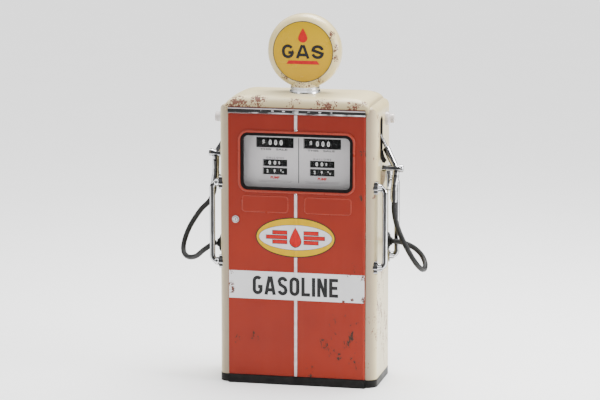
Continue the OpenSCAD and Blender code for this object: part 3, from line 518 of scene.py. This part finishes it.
def text_mesh(s, width, height, thick=0.0006, bold=0.0):
    """Plain lettering as a thin solid, centred, in x and z, standing proud towards -Y."""
    cu = bpy.data.curves.new("t", "FONT")
    cu.body = s
    cu.size = 1.0
    cu.offset = bold
    cu.resolution_u = 6
    cu.extrude = 0.5
    ob = bpy.data.objects.new("t", cu)
    bpy.context.collection.objects.link(ob)
    bpy.context.view_layer.update()
    me = bpy.data.meshes.new_from_object(ob.evaluated_get(bpy.context.evaluated_depsgraph_get()))
    bpy.data.objects.remove(ob)
    bpy.data.curves.remove(cu)
    co = np.array([v.co for v in me.vertices], float)
    lo, hi = co.min(0), co.max(0)
    co = (co - (lo + hi) / 2) / np.maximum(hi - lo, 1e-9)
    co = np.stack([co[:, 0] * width, -(co[:, 2] + 0.5) * thick, co[:, 1] * height], 1)
    faces = [tuple(p.vertices) for p in me.polygons]
    bpy.data.meshes.remove(me)
    return co, faces


def shift(verts, dx=0.0, dy=0.0, dz=0.0):
    return [(v[0] + dx, v[1] + dy, v[2] + dz) for v in verts]


def join(parts):
    verts, faces = [], []
    for v, f in parts:
        k = len(verts)
        verts += [tuple(p) for p in v]
        faces += [tuple(i + k for i in q) for q in f]
    return verts, faces


def both_faces(name, part, key, bodies, smooth=False):
    """The same thing on the front and, half a turn round, on the back."""
    v, f = part
    add("front_" + name, v, f, key, bodies[0], smooth)
    add("rear_" + name, rotz(v), f, key, bodies[1], smooth)


DOORS = ("front_door", "rear_door")
BODY = ("cabinet", "cabinet")

# ------------------------------------------------------------------ hoses
right_route = [[468,-64,930],[468,-64,890],[476,-65,840],[492,-67,790],[514,-69,740],[540,-69,690],[566,-60,642],[588,-34,602],
  [601,8,578],[605,54,574],[600,96,592],[580,126,622],[548,139,652],[508,136,676],[474,118,691],[446,109,697],[430,107,697]]
left_route = [[-487,64,954],[-491,64,922],[-514,65,876],[-556,66,833],[-593,67,781],[-623,66,728],[-642,60,676],[-647,44,634],
  [-633,14,606],[-599,-26,598],[-552,-68,613],[-507,-104,650],[-474,-114,675],[-450,-109,690],[-434,-107,696]]
for side, route in (("right", right_route), ("left", left_route)):
    p = catmull(np.array(route) / 1000.0, 8)
    v, f = tube(p, 0.013, 20)
    hose = add(side + "_hose_skin", v, f, "hose", None)
    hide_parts(side + "_hose")
    s = 1 if side == "right" else -1
    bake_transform(hose)

# ------------------------------------------------------------------ door graphics
RIB_X, RIB_W, RIB_H = -0.004, 0.0082, 0.0034


def rib(x):
    u = (x - RIB_X) / RIB_W
    return RIB_H * math.sqrt(max(0.0, 1 - abs(u) ** 3)) if abs(u) < 1 else 0.0


def cut_at(part, xs=(), zs=()):
    v, f = part
    me = bpy.data.meshes.new("c")
    me.from_pydata([tuple(p) for p in v], [], f)
    bm = bmesh.new()
    bm.from_mesh(me)
    bpy.data.meshes.remove(me)
    for ax, vals in ((0, xs), (2, zs)):
        for x in vals:
            no, pc = [0, 0, 0], [0, 0, 0]
            no[ax] = 1
            pc[ax] = x
            bmesh.ops.bisect_plane(bm, geom=bm.verts[:] + bm.edges[:] + bm.faces[:], plane_co=pc, plane_no=no)
    bm.verts.index_update()
    vs = [tuple(q.co) for q in bm.verts]
    fs = [tuple(q.index for q in p.verts) for p in bm.faces]
    bm.free()
    return vs, fs


def over_rib(part):
    xs = [RIB_X + RIB_W * k / 8 for k in (-8, -7.8, -7, -6, -4, -2, 0, 2, 4, 6, 7, 7.8, 8)]
    v, f = cut_at(part, xs)
    return [(x, y - rib(x), zz) for x, y, zz in v], f


def stroke(points, w, y0, y1):
    """A line of even width with square ends, as a thin plate."""
    p = [np.array(q, float) for q in points]
    left, right = [], []
    for i in range(len(p)):
        a = p[i] - p[i - 1] if i else p[1] - p[0]
        b = p[i + 1] - p[i] if i < len(p) - 1 else a
        a, b = a / np.linalg.norm(a), b / np.linalg.norm(b)
        t = a + b
        t /= np.linalg.norm(t)
        n = np.array([-t[1], t[0]])
        k = w / 2 / max(0.5, float(n @ np.array([-a[1], a[0]])))
        left.append(p[i] + n * k)
        right.append(p[i] - n * k)
    verts, faces = [], []
    n = len(p)
    for y in (y0, y1):
        verts += [(q[0], y, q[1]) for q in left] + [(q[0], y, q[1]) for q in right]
    for i in range(n - 1):
        faces += [(i, i + 1, n + i + 1, n + i), (2 * n + i, 3 * n + i, 3 * n + i + 1, 2 * n + i + 1), (i, 2 * n + i, 2 * n + i + 1, i + 1), (n + i, n + i + 1, 3 * n + i + 1, 3 * n + i)]
    faces += [(0, n, 3 * n, 2 * n), (n - 1, 3 * n - 1, 4 * n - 1, 2 * n - 1)]
    return verts, faces


def arc(cx, cz, r, a0, a1, k=8, rz=None):
    rz = rz or r
    return [(cx + r * math.cos(math.radians(a0 + (a1 - a0) * i / k)), cz + rz * math.sin(math.radians(a0 + (a1 - a0) * i / k))) for i in range(k + 1)]


def letters(word, x0, z0, w, h, s, gap, y0, y1):
    """Upright block capitals, drawn with strokes of width s, from x0 rightwards."""
    out = []
    x = x0
    for ch in word:
        W = {"I": s, "A": w * 1.12, "L": w * 0.86, "E": w * 0.9}.get(ch, w)
        a, b, r = s / 2, W - s / 2, (W - s) / 2
        c = W / 2
        lines = []
        if ch in "OG":
            top = arc(c, h - a - r, r, 0, 180, 10)
            low = arc(c, a + r, r, 180, 360, 10)
            if ch == "O":
                lines = [[(b, h / 2)] + top + low + [(b, h / 2)]]
            else:
                lines = [arc(c, h - a - r, r, 36, 180, 10) + low + [(b, h * 0.42)], [(c + a * 0.2, h * 0.47 - a * 0.5), (b + a, h * 0.47 - a * 0.5)]]
        elif ch == "S":
            q = min(r, h * 0.5 - s * 1.05)
            lines = [arc(c, h - a - q, r, 8, 180, 10, q) + [(a + r * 0.3, h * 0.5 + s * 0.42), (b - r * 0.3, h * 0.5 - s * 0.42)] + arc(c, a + q, r, 0, -172, 10, q)]
        elif ch == "A":
            lines = [[(a * 0.9, 0), (c - a * 0.42, h)], [(W - a * 0.9, 0), (c + a * 0.42, h)], [(W * 0.2, h * 0.27), (W * 0.8, h * 0.27)]]
        elif ch == "L":
            lines = [[(a, 0), (a, h)], [(0, a * 0.95), (W, a * 0.95)]]
        elif ch == "I":
            lines = [[(a, 0), (a, h)]]
        elif ch == "N":
            lines = [[(a, 0), (a, h)], [(b, 0), (b, h)], [(a * 1.1, h), (W - a * 1.1, 0)]]
        elif ch == "E":
            lines = [[(a, 0), (a, h)], [(0, a * 0.95), (W, a * 0.95)], [(0, h / 2), (W * 0.92, h / 2)], [(0, h - a * 0.95), (W, h - a * 0.95)]]
        for k, l in enumerate(lines):
            dy = 0.00003 * k
            v, f = stroke([(x + px_, z0 + pz_) for px_, pz_ in l], s, y0 - dy, y1)
            # square the ends to the line of the letters
            v = [(q[0], q[1], min(max(q[2], z0), z0 + h)) for q in v]
            out.append((v, f))
        x += W + gap
    return out, x - gap


both_faces("rib_upper", over_rib(slab([(RIB_X - RIB_W, 1.294), (RIB_X + RIB_W, 1.294), (RIB_X + RIB_W, 1.373), (RIB_X - RIB_W, 1.373)], DOOR_Y - 0.0004, DOOR_Y + 0.001)), "strip", DOORS, True)
for k, (z0, z1) in enumerate(((0.046, 0.4362), (0.5773, 0.6575), (0.8545, 0.977))):
    both_faces("rib_lower%d" % k, over_rib(slab([(RIB_X - RIB_W, z0), (RIB_X + RIB_W, z0), (RIB_X + RIB_W, z1), (RIB_X - RIB_W, z1)], DOOR_Y - 0.0004, DOOR_Y + 0.001)), "strip", DOORS, True)
for nm, zz in (("upper", 1.2975), ("lower", 0.9745)):
    v, f = revolve([(0.0, -0.0062), (0.004, -0.0058), (0.0075, -0.004), (0.009, -0.001), (0.009, 0.0)], 24)
    both_faces("rib_tip_" + nm, (place(v, Matrix.Translation((RIB_X, DOOR_Y, zz)) @ Matrix.Rotation(-math.pi / 2, 4, "X")), f), "chrome", DOORS, True)
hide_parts("front_door_strips")
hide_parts("rear_door_strips")
word, x_end = letters("GASOLINE", 0, 0.4585, 0.0515, 0.096, 0.0172, 0.0095, DOOR_Y - 0.0012, DOOR_Y - 0.0004)
dx = -0.006 - x_end / 2
word = [(shift(v, dx), f) for v, f in word]
both_faces("band", over_rib(slab([(-0.3465, 0.436), (0.3465, 0.436), (0.3465, 0.5775), (-0.3465, 0.5775)], DOOR_Y - 0.0006, DOOR_Y + 0.0005)), "band_white", DOORS)
both_faces("band_word", over_rib(join(word)), "ink", DOORS)
OY = DOOR_Y - 0.0005
OX = -0.005
both_faces("oval_rim", over_rib(slab(ellipse(OX, 0.756, 0.204, 0.1015), OY - 0.0004, OY + 0.0004)), "ink", DOORS)
both_faces("oval_ring", over_rib(slab(ellipse(OX, 0.756, 0.1985, 0.0965), OY - 0.0008, OY)), "yellow", DOORS)
both_faces("oval_line", over_rib(slab(ellipse(OX, 0.756, 0.1895 - 0.002, 0.0645), OY - 0.0011, OY - 0.0004)), "ink", DOORS)
both_faces("oval_field", over_rib(slab(ellipse(OX, 0.756, 0.1875 - 0.002, 0.0625), OY - 0.0014, OY - 0.0008)), "sign_white", DOORS)


def drop(cx, cz, w, h, k=40):
    """A falling drop: a round foot and a pointed head."""
    pts = []
    for i in range(k):
        a = 2 * math.pi * i / k
        x = math.sin(a)
        y = -math.cos(a)
        s = 1.0 if y < 0 else (1 - y) ** 0.55
        pts.append((cx + w / 2 * x * s, cz + h * (-0.18 + 0.32 * y if y < 0 else -0.18 + 0.68 * y)))
    return pts


mark, edge = [], []
for grow, y, into in ((0.0028, OY - 0.0017, edge), (0.0, OY - 0.002, mark)):
    into.append(slab(drop(OX, 0.758 - grow * 0.3, 0.058 + 2 * grow, 0.098 + 2.4 * grow), y, y + 0.0006))
    for s_ in (-1, 1):
        for dz, w in ((0.024, 0.072), (0.0, 0.104), (-0.024, 0.072)):
            x0, x1 = sorted((OX + s_ * 0.044, OX + s_ * (0.044 + w)))
            into.append(slab([(x0 - grow, 0.756 + dz - 0.008 - grow), (x1 + grow, 0.756 + dz - 0.008 - grow), (x1 + grow, 0.756 + dz + 0.008 + grow), (x0 - grow, 0.756 + dz + 0.008 + grow)], y, y + 0.0006))
both_faces("oval_mark_edge", over_rib(join(edge)), "ink", DOORS)
both_faces("oval_mark", over_rib(join(mark)), "red", DOORS)

# rounded bead round the window, and round each embossed field, in a lighter orange: partly edge wear, partly painted
# highlight
def bead(outline, y, r, key, name, sides=10):
    path = [(x, y, z) for x, z in outline]
    keep = [path[0]]
    for q in path[1:]:
        if math.dist(q, keep[-1]) > 1e-5:
            keep.append(q)
    v, f = tube(keep, r, sides, closed=True)
    both_faces(name, (v, f), key, DOORS, True)


M["orange"] = M["orange_front"]
bead(rounded(-0.2925, 0.2925, 0.9845, 1.2865, 0.045, 10), -0.2080, 0.0056, "orange_edge_wear_highlight", "window_bead")
for i, cx in enumerate((-0.160, 0.160)):
    bead(rounded(cx - 0.117, cx + 0.117, 0.881, 0.961, 0.017, 8), -0.2052, 0.0034, "orange_edge_wear_highlight", "field_bead%d" % i)

# ------------------------------------------------------------------ band's painted dark reflection and painted highlight, base bars, lock faces
# painted reflection: a black strip across the middle of the chrome band stands in for the dark studio reflected there
dark_reflection = [slab([(-0.3485, 1.3860), (0.3485, 1.3860), (0.3485, 1.3975), (-0.3485, 1.3975)], -0.2134, -0.2070)]
both_faces("band_dark_reflection", join(dark_reflection), "ink", BODY)
studs = []
for x in (-0.176, -0.120, -0.064, 0.064, 0.120, 0.176):
    studs.append(slab(rounded(x - 0.007, x + 0.007, 1.3885, 1.3955, 0.003, 4), -0.2142, -0.2125))
studs.append(slab(rounded(-0.020, 0.012, 1.3835, 1.4000, 0.006, 5), -0.2155, -0.2085))
both_faces("band_studs", join(studs), "chrome", BODY)
# painted highlight: a bright strip along the top of the chrome band
both_faces("band_top_highlight", slab([(-0.3485, 1.3984), (0.3485, 1.3984), (0.3485, 1.4032), (-0.3485, 1.4032)], -0.2139, -0.2100), "strip", BODY)
both_faces("band_line", slab([(-0.348, 1.4045), (0.348, 1.4045), (0.348, 1.4085), (-0.348, 1.4085)], -0.2056, -0.2035), "rust_line", BODY)
bars = [slab([(-0.349, 0.0005), (0.349, 0.0005), (0.349, 0.0425), (-0.349, 0.0425)], -0.2135, -0.193)]
both_faces("base_bar", join(bars), "black", BODY)
LX, LZ = -0.311, 0.839
ringp = frame_slab(ellipse(LX, LZ, 0.0142, 0.0142, 40), ellipse(LX, LZ, 0.0118, 0.0118, 40), -0.2121, -0.2112)
slotp = slab(rounded(LX - 0.0016, LX + 0.0016, LZ - 0.006, LZ + 0.006, 0.0012, 3), -0.2149, -0.2140)
for b, turn in (("front_lock", False), ("rear_lock", True)):
    v, f = join([ringp, slotp])
    add(b + "_face", rotz(v) if turn else v, f, "ink", b, False)


def roof_height(x, y):
    ax, ay = abs(x), abs(y)
    crown = 1.463 - 0.004 * (ay / 0.15) ** 2 if ay < 0.150 else 1.459
    fy = 0.0 if ay <= 0.1445 else 0.060 * (1 - math.sqrt(max(0.0, 1 - ((ay - 0.1445) / 0.0600) ** 2)))
    fy = min(fy, 0.060)
    fx = 0.0 if ax <= 0.262 else 0.0427 * (1 - math.sqrt(max(0.0, 1 - ((ax - 0.262) / 0.104) ** 2)))
    zz = crown - math.sqrt(fx * fx + fy * fy)
    if ax > 0.3495:
        dx_ = 0.045 - math.sqrt(max(0.0, 0.045 ** 2 - max(0.0, ax - 0.3565) ** 2))
        dy_ = 0.034 - math.sqrt(max(0.0, 0.034 ** 2 - min(0.034, max(0.0, ay - 0.1595)) ** 2))
        return max(zz, 1.4185 - dx_ - dy_)
    return max(zz, 1.4035)


xs = sorted(set([round(v, 5) for v in [0.0, 0.3493, 0.3497] + [0.366 * math.sin(math.pi / 2 * i / 44) for i in range(45)]]))
xs = [-x for x in xs[:0:-1]] + xs
ys = sorted(set([round(0.2045 * math.sin(math.pi / 2 * i / 40), 5) for i in range(41)] + [0.2043, 0.2039]))
ys = [-y for y in ys[:0:-1]] + ys
verts = [(x, y, roof_height(x, y)) for y in ys for x in xs]
nx, ny = len(xs), len(ys)
faces = [(j * nx + i, j * nx + i + 1, (j + 1) * nx + i + 1, (j + 1) * nx + i) for j in range(ny - 1) for i in range(nx - 1)]
rim = [(i, 0) for i in range(nx)] + [(nx - 1, j) for j in range(1, ny)] + [(i, ny - 1) for i in range(nx - 2, -1, -1)] + [(0, j) for j in range(ny - 2, 0, -1)]
base = len(verts)
for i, j in rim:
    x, y, zz = verts[j * nx + i]
    verts.append((x, y, zz - 0.0025 if abs(x) > 0.3495 else 1.4005))
for k_ in range(len(rim)):
    i, j = rim[k_]
    i2, j2 = rim[(k_ + 1) % len(rim)]
    faces.append((j * nx + i, base + k_, base + (k_ + 1) % len(rim), j2 * nx + i2))
roof = add("roof_shell", verts, faces, "cream_roof", "cabinet")
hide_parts("roof_cap")

# ------------------------------------------------------------------ slot lips, switch fingers, nozzle sleeves
def side_plate(outline_yz, x0, x1):
    n = len(outline_yz)
    verts = [(x0, y, zz) for y, zz in outline_yz] + [(x1, y, zz) for y, zz in outline_yz]
    return verts, [tuple(range(n)), tuple(range(2 * n - 1, n - 1, -1))] + [(i, (i + 1) % n, n + (i + 1) % n, n + i) for i in range(n)]


def side_ring(outer, inner, x0, x1):
    v, f = frame_slab(outer, inner, x0, x1)
    return [(y, x, zz) for x, y, zz in v], f


def sides(name, part, key, bodies, smooth=False, slot=None, lean=None):
    v, f = part
    add("right_" + name, v, f, key, bodies[0], smooth)
    w = v if lean is None else place(v, lean)
    add("left_" + name, rotz(w), f, key, bodies[1], smooth)


SY, SZ0, SZ1 = -0.070, 1.147, 1.357
lip = side_ring(rounded(SY - 0.0315, SY + 0.0315, SZ0 - 0.0065, SZ1 + 0.0065, 0.031, 8), rounded(SY - 0.0248, SY + 0.0248, SZ0 + 0.0002, SZ1 - 0.0002, 0.0247, 8), 0.4034, 0.4045)
sides("slot_lip", lip, "gasket", BODY, slot="boot_black")
fing = [(0.4065, 1.186), (0.4065, 1.150), (0.412, 1.1325), (0.424, 1.1305), (0.4335, 1.144), (0.4295, 1.1495), (0.4215, 1.163), (0.4155, 1.190)]
v, f = slab(fing, -0.0895, -0.0835)
sides("switch_finger", (v, f), "black", ("right_switch", "left_switch"), slot="lever_black")
left_in = 0.109 * math.cos(math.radians(7)) + 0.0185 * math.sin(math.radians(7)) - 0.109
LEAN = Matrix.Translation((0.404 - left_in, 0, 1.117)) @ Matrix.Rotation(math.radians(-7), 4, "Y") @ Matrix.Translation((-0.404, 0, -1.101))


def spindle(a, b, prof, k=28):
    """prof: (share of the way from a to b, radius) pairs."""
    a, b = Vector(a), Vector(b)
    d = b - a
    v, f = revolve([(r, t * d.length) for t, r in prof], k)
    return place(v, Matrix.Translation(a) @ d.to_track_quat("Z", "Y").to_matrix().to_4x4()), f


NZ = ("right_nozzle", "left_nozzle")
sleeve = spindle((0.4705, -0.064, 1.1155), (0.4325, -0.064, 1.1958), [(0.0, 0.0), (0.0, 0.0152), (0.04, 0.0158), (0.86, 0.0152), (0.93, 0.0168), (0.985, 0.0168), (1.0, 0.0155), (1.0, 0.0)])
sides("nozzle_sleeve", sleeve, "bar_chrome", NZ, True, "nozzle_chrome", LEAN)
grip = spindle((0.4779, -0.064, 1.094), (0.4687, -0.064, 1.001), [(0.0, 0.0), (0.0, 0.0165), (0.05, 0.0176), (0.20, 0.0180), (0.24, 0.0168), (0.28, 0.0178), (0.74, 0.0176), (0.78, 0.0165), (0.82, 0.0172), (1.0, 0.0170), (1.0, 0.0)])
sides("nozzle_grip", grip, "bar_chrome", NZ, True, "nozzle_chrome", LEAN)
cap = spindle((0.494, -0.064, 1.101), (0.5138, -0.064, 1.101), [(0.0, 0.0), (0.0, 0.0186), (0.12, 0.0192), (0.3, 0.0192), (0.38, 0.0178), (0.5, 0.0178), (0.58, 0.0192), (0.86, 0.019), (1.0, 0.0165), (1.0, 0.0)], 32)
sides("nozzle_cap", cap, "bar_chrome", NZ, True, "nozzle_chrome", LEAN)

# rounded sockets over the feet of the guard rails
feet = []
for y in (-0.165, 0.165):
    for zz in (0.613, 1.015):
        feet.append(spindle((0.4052, y, zz), (0.4285, y, zz), [(0.0, 0.0), (0.0, 0.0215), (0.12, 0.0222), (0.24, 0.0205), (0.62, 0.0190), (0.86, 0.0176), (1.0, 0.0150), (1.0, 0.0)], 28))
sides("rail_foot", join(feet), "chrome", BODY, True, "trim_chrome")

# ------------------------------------------------------------------ dial
DY = -0.153
parts_black, parts_red, parts_rule, parts_small = [], [], [], []
for cx in (-0.121, 0.120):
    lab, lf = text_mesh("THIS   SALE", 0.140, 0.0095, 0.0004, 0.025)
    parts_small.append((shift(lab, cx - 0.006, DY, 1.190), lf))
    lab, lf = text_mesh("G A L L O N S", 0.090, 0.0095, 0.0004, 0.02)
    parts_small.append((shift(lab, cx, DY, 1.1475), lf))
    lab, lf = text_mesh("PUMP", 0.046, 0.0135, 0.0005, 0.05)
    parts_red.append((shift(lab, cx, DY, 1.048), lf))
    for k in range(2):
        parts_rule.append(slab([(cx - 0.088 + 0.006 * k, 1.031 - 0.006 * k), (cx + 0.088 - 0.006 * k, 1.031 - 0.006 * k), (cx + 0.088 - 0.006 * k, 1.0322 - 0.006 * k), (cx - 0.088 + 0.006 * k, 1.0322 - 0.006 * k)], DY - 0.0004, DY + 0.0002))
    for (x0, x1, z0, z1) in ((cx - 0.094, cx + 0.094, 1.2002, 1.2488), (cx - 0.061, cx + 0.061, 1.1062, 1.1378), (cx - 0.061, cx + 0.061, 1.0642, 1.0958)):
        o = [(x0 - 0.0015, z0 - 0.0015), (x1 + 0.0015, z0 - 0.0015), (x1 + 0.0015, z1 + 0.0015), (x0 - 0.0015, z1 + 0.0015)]
        q = [(x0 + 0.001, z0 + 0.001), (x1 - 0.001, z0 + 0.001), (x1 - 0.001, z1 - 0.001), (x0 + 0.001, z1 - 0.001)]
        parts_black.append(frame_slab(o, q, DY - 0.0006, DY + 0.0025))
parts_black.append(slab([(-0.0018, 1.024), (0.0018, 1.024), (0.0018, 1.250), (-0.0018, 1.250)], DY - 0.0005, DY + 0.0002))
both_faces("dial_labels", join(parts_small), "ink", BODY)
both_faces("dial_frames", join(parts_black), "ink", BODY)
both_faces("dial_marks", join(parts_red), "red", BODY)
both_faces("dial_rules", join(parts_rule), "ink_grey", BODY)

masks = []
for cx in (-0.121, 0.120):
    for (hw, zc, hh, ap) in ((0.0935, 1.2245, 0.0238, 0.0165), (0.0605, 1.122, 0.0152, 0.0118)):
        for s_ in (-1, 1):
            z0, z1 = sorted((zc + s_ * ap, zc + s_ * (hh + 0.002)))
            masks.append(slab([(cx - hw, z0), (cx + hw, z0), (cx + hw, z1), (cx - hw, z1)], -0.1515, -0.1508))
        hx_ = 0.047 if zc > 1.2 else 0.042
        for s_ in (-1, 1):
            off = 0.0005 if zc > 1.2 else 0.0
            x0, x1 = sorted((cx + s_ * hx_, cx + s_ * hw))
            masks.append(slab([(x0, zc - ap), (x1, zc - ap), (x1, zc + ap), (x0, zc + ap)], -0.1513, -0.1508))
both_faces("dial_masks", join(masks), "wheel", BODY)

# price figures and dollar signs, fixed to the cabinet
def facing(parts, s):
    """Parts drawn for the front; s = 1 turns them to the back."""
    v, f = join(parts)
    return (rotz(v) if s > 0 else v), f


for s, name in ((-1, "front"), (1, "rear")):
    prt, blk = [], []
    for cx in (-0.121, 0.120):
        for dx, ch in ((-0.039, "2"), (-0.003, "9"), (0.034, "%")):
            t, tf = text_mesh("9" if ch == "%" else ch, 0.009 if ch != "%" else 0.006, 0.016 if ch != "%" else 0.009, 0.0004, 0.03)
            if ch == "%":
                prt.append((shift(t, cx + dx - 0.005, -0.1502, 1.084), tf))
                t2, tf2 = text_mesh("10", 0.009, 0.008, 0.0004, 0.02)
                prt.append((shift(t2, cx + dx + 0.006, -0.1502, 1.076), tf2))
            else:
                prt.append((shift(t, cx + dx, -0.1502, 1.080), tf))
        t, tf = text_mesh("$", 0.013, 0.027, 0.0004, 0.02)
        prt.append((shift(t, cx - 0.058, -0.1517, 1.2245), tf))
    v, f = facing(prt, s)
    add(name + "_price_figures", v, f, "digit", "cabinet", False)

# number wheels: figures lie on the rims
def wrapped(ch, w, h, r, step, thick=0.0005):
    v, f = text_mesh(ch, w, h, thick, 0.045)
    me = bpy.data.meshes.new("w")
    me.from_pydata([tuple(p) for p in v], [], f)
    bm = bmesh.new()
    bm.from_mesh(me)
    bpy.data.meshes.remove(me)
    n = 7
    for i in range(1, n):
        zc = -h / 2 + h * i / n
        bmesh.ops.bisect_plane(bm, geom=bm.verts[:] + bm.edges[:] + bm.faces[:], plane_co=(0, 0, zc), plane_no=(0, 0, 1))
    vs = [tuple(q.co) for q in bm.verts]
    bm.verts.index_update()
    fs = [tuple(q.index for q in p.verts) for p in bm.faces]
    bm.free()
    out = []
    for x, y, zz in vs:
        a = zz / r + step
        rr = r - y + 0.00005
        out.append((x, -rr * math.cos(a), rr * math.sin(a)))
    return out, fs


BANKS = {}
for sd, sx in (("right", 1), ("left", -1)):
    for face, fy in (("front", -1), ("rear", 1)):
        for kind in ("money", "gallon"):
            # x positions in the right pump half, as the computers are drawn, then turned for the left one
            fs = fy * sx
            if kind == "money":
                yy, zz, r, x0, pitch, w, h = 0.101, 1.2245, 0.050, (82 if fs < 0 else 77), 28, 26, 0.0265
            else:
                yy, zz, r, x0, pitch, w, h = 0.116, 1.122, 0.035, (79 if fs < 0 else 83), 26.5, 25, 0.019
            cx = [sx * (x0 + i * pitch + w / 2) / 1000.0 for i in range(3)]
            seen = sorted(cx) if fy < 0 else sorted(cx, reverse=True)
            parts = []
            for i, x in enumerate(seen):
                tenth = kind == "gallon" and i == 2
                for d in range(10):
                    a = math.radians(36 * d)
                    ch = str(d)
                    v, f = wrapped(ch, (0.0145 if kind == "money" else 0.0125) * (0.62 if tenth else 1.0), h * (0.75 if tenth else 1.0), r, a)
                    if tenth:
                        v = shift(v, -0.004)
                    if fy > 0:
                        v = [(-p[0], -p[1], p[2]) for p in v]
                    parts.append((shift(v, x, fy * yy, zz), f))
            v, f = join(parts)
            node = "%s_%s_%s_wheels" % (sd, face, kind)
            add(node.replace("wheels", "figures"), v, f, "digit", node, False)

# ------------------------------------------------------------------ globe lenses' marks
GZ = 1.671
lens_front = -0.0590


def on_lens(part):
    """Lays a flat part on the crowned lens."""
    v, f = part
    out = []
    for x, y, zz in v:
        r2 = (x * x + (zz - GZ) ** 2) / (0.154 ** 2)
        out.append((x, -0.050 - 0.009 * max(0.0, 1 - r2) + y, zz))
    return out, f


def cut(part, step=0.012):
    """Adds vertical and level cuts, so that a flat part can follow a curve."""
    v, f = part
    me = bpy.data.meshes.new("c")
    me.from_pydata([tuple(p) for p in v], [], f)
    bm = bmesh.new()
    bm.from_mesh(me)
    bpy.data.meshes.remove(me)
    co = np.array([q.co for q in bm.verts])
    lo, hi = co.min(0), co.max(0)
    for ax in (0, 2):
        x = lo[ax] + step
        while x < hi[ax]:
            no = [0, 0, 0]
            no[ax] = 1
            pc = [0, 0, 0]
            pc[ax] = x
            bmesh.ops.bisect_plane(bm, geom=bm.verts[:] + bm.edges[:] + bm.faces[:], plane_co=pc, plane_no=no)
            x += step
    bm.verts.index_update()
    vs = [tuple(q.co) for q in bm.verts]
    fs = [tuple(q.index for q in p.verts) for p in bm.faces]
    bm.free()
    return vs, fs


gl, ge = letters("GAS", 0, GZ - 0.034, 0.062, 0.070, 0.0145, 0.010, -0.0009, -0.0001)
w1, f1 = join([(shift(v, -ge / 2), f) for v, f in gl])
both_faces("globe_word", on_lens(cut((w1, f1))), "ink", BODY)
mk = [slab(drop(0, GZ + 0.083, 0.048, 0.072), -0.0009, -0.0001), slab([(-0.085, GZ - 0.062), (0.085, GZ - 0.062), (0.072, GZ - 0.044), (-0.072, GZ - 0.044)], -0.0009, -0.0001)]
both_faces("globe_mark", on_lens(cut(join(mk))), "red", BODY)
ring = frame_slab([(x, zz) for x, zz in ellipse(0, GZ, 0.1545, 0.1545, 128)], [(x, zz) for x, zz in ellipse(0, GZ, 0.1500, 0.1500, 128)], -0.0008, 0.0006)
M["ring"] = plain("lens_ring_olive", (0.035, 0.028, 0.012), (0.06, 0.05, 0.02), rough=0.4, scale=60)
both_faces("globe_ring", on_lens(ring), "ring", BODY)

# ------------------------------------------------------------------ stage and light
def stage_plane(name, verts, faces, mat_):
    me = bpy.data.meshes.new(name)
    me.from_pydata(verts, [], faces)
    me.materials.append(mat_)
    o = bpy.data.objects.new(name, me)
    bpy.context.collection.objects.link(o)
    me.shade_smooth()
    return o


fm = Mat("pale_floor")
fm.set(color=fm.mix(fm.ramp(fm.noise(1.5, 2.0), 0.3, 0.7), (0.93, 0.93, 0.93), (0.94, 0.94, 0.94)), rough=0.95, spec=0.05)
stage_plane("floor", [(-300, -300, 0), (300, -300, 0), (300, 300, 0), (-300, 300, 0)], [(0, 1, 2, 3)], fm.m)

world = bpy.data.worlds.new("world")
bpy.context.scene.world = world
world.use_nodes = True
wt = world.node_tree
bg = wt.nodes["Background"]
tcw = wt.nodes.new("ShaderNodeTexCoord")
sp = wt.nodes.new("ShaderNodeSeparateXYZ")
wt.links.new(tcw.outputs["Generated"], sp.inputs[0])
rampn = wt.nodes.new("ShaderNodeValToRGB")
mr = wt.nodes.new("ShaderNodeMapRange")
mr.inputs["From Min"].default_value = -1.0
mr.inputs["From Max"].default_value = 1.0
wt.links.new(sp.outputs[2], mr.inputs["Value"])
wt.links.new(mr.outputs[0], rampn.inputs[0])
cr = rampn.color_ramp
cr.elements[0].position = 0.0
cr.elements[0].color = (0.5, 0.5, 0.5, 1)
cr.elements[1].position = 1.0
cr.elements[1].color = (1, 1, 1, 1)
for pos, c in ((0.495, 0.5), (0.505, 0.10), (0.60, 0.05), (0.66, 0.10), (0.70, 0.9), (0.85, 1.0)):
    e = cr.elements.new(pos)
    e.color = (c, c, c, 1)
wt.links.new(rampn.outputs[0], bg.inputs[0])
bg.inputs[1].default_value = 2.3


def area(name, loc, to, size, power, size_y=None):
    li = bpy.data.lights.new(name, "AREA")
    li.energy = power
    li.shape = "RECTANGLE"
    li.size = size
    li.size_y = size_y or size
    o = bpy.data.objects.new(name, li)
    bpy.context.collection.objects.link(o)
    o.location = loc
    o.rotation_euler = (Vector(loc) - Vector(to)).to_track_quat("Z", "Y").to_euler()


area("key", (-3.6, -5.0, 2.6), (0, 0, 1.0), 1.6, 40)
area("fill", (5.2, -0.6, 2.4), (0, 0, 0.9), 2.2, 330)
area("top", (0.5, 1.0, 5.0), (0, 0, 1.2), 2.6, 420)
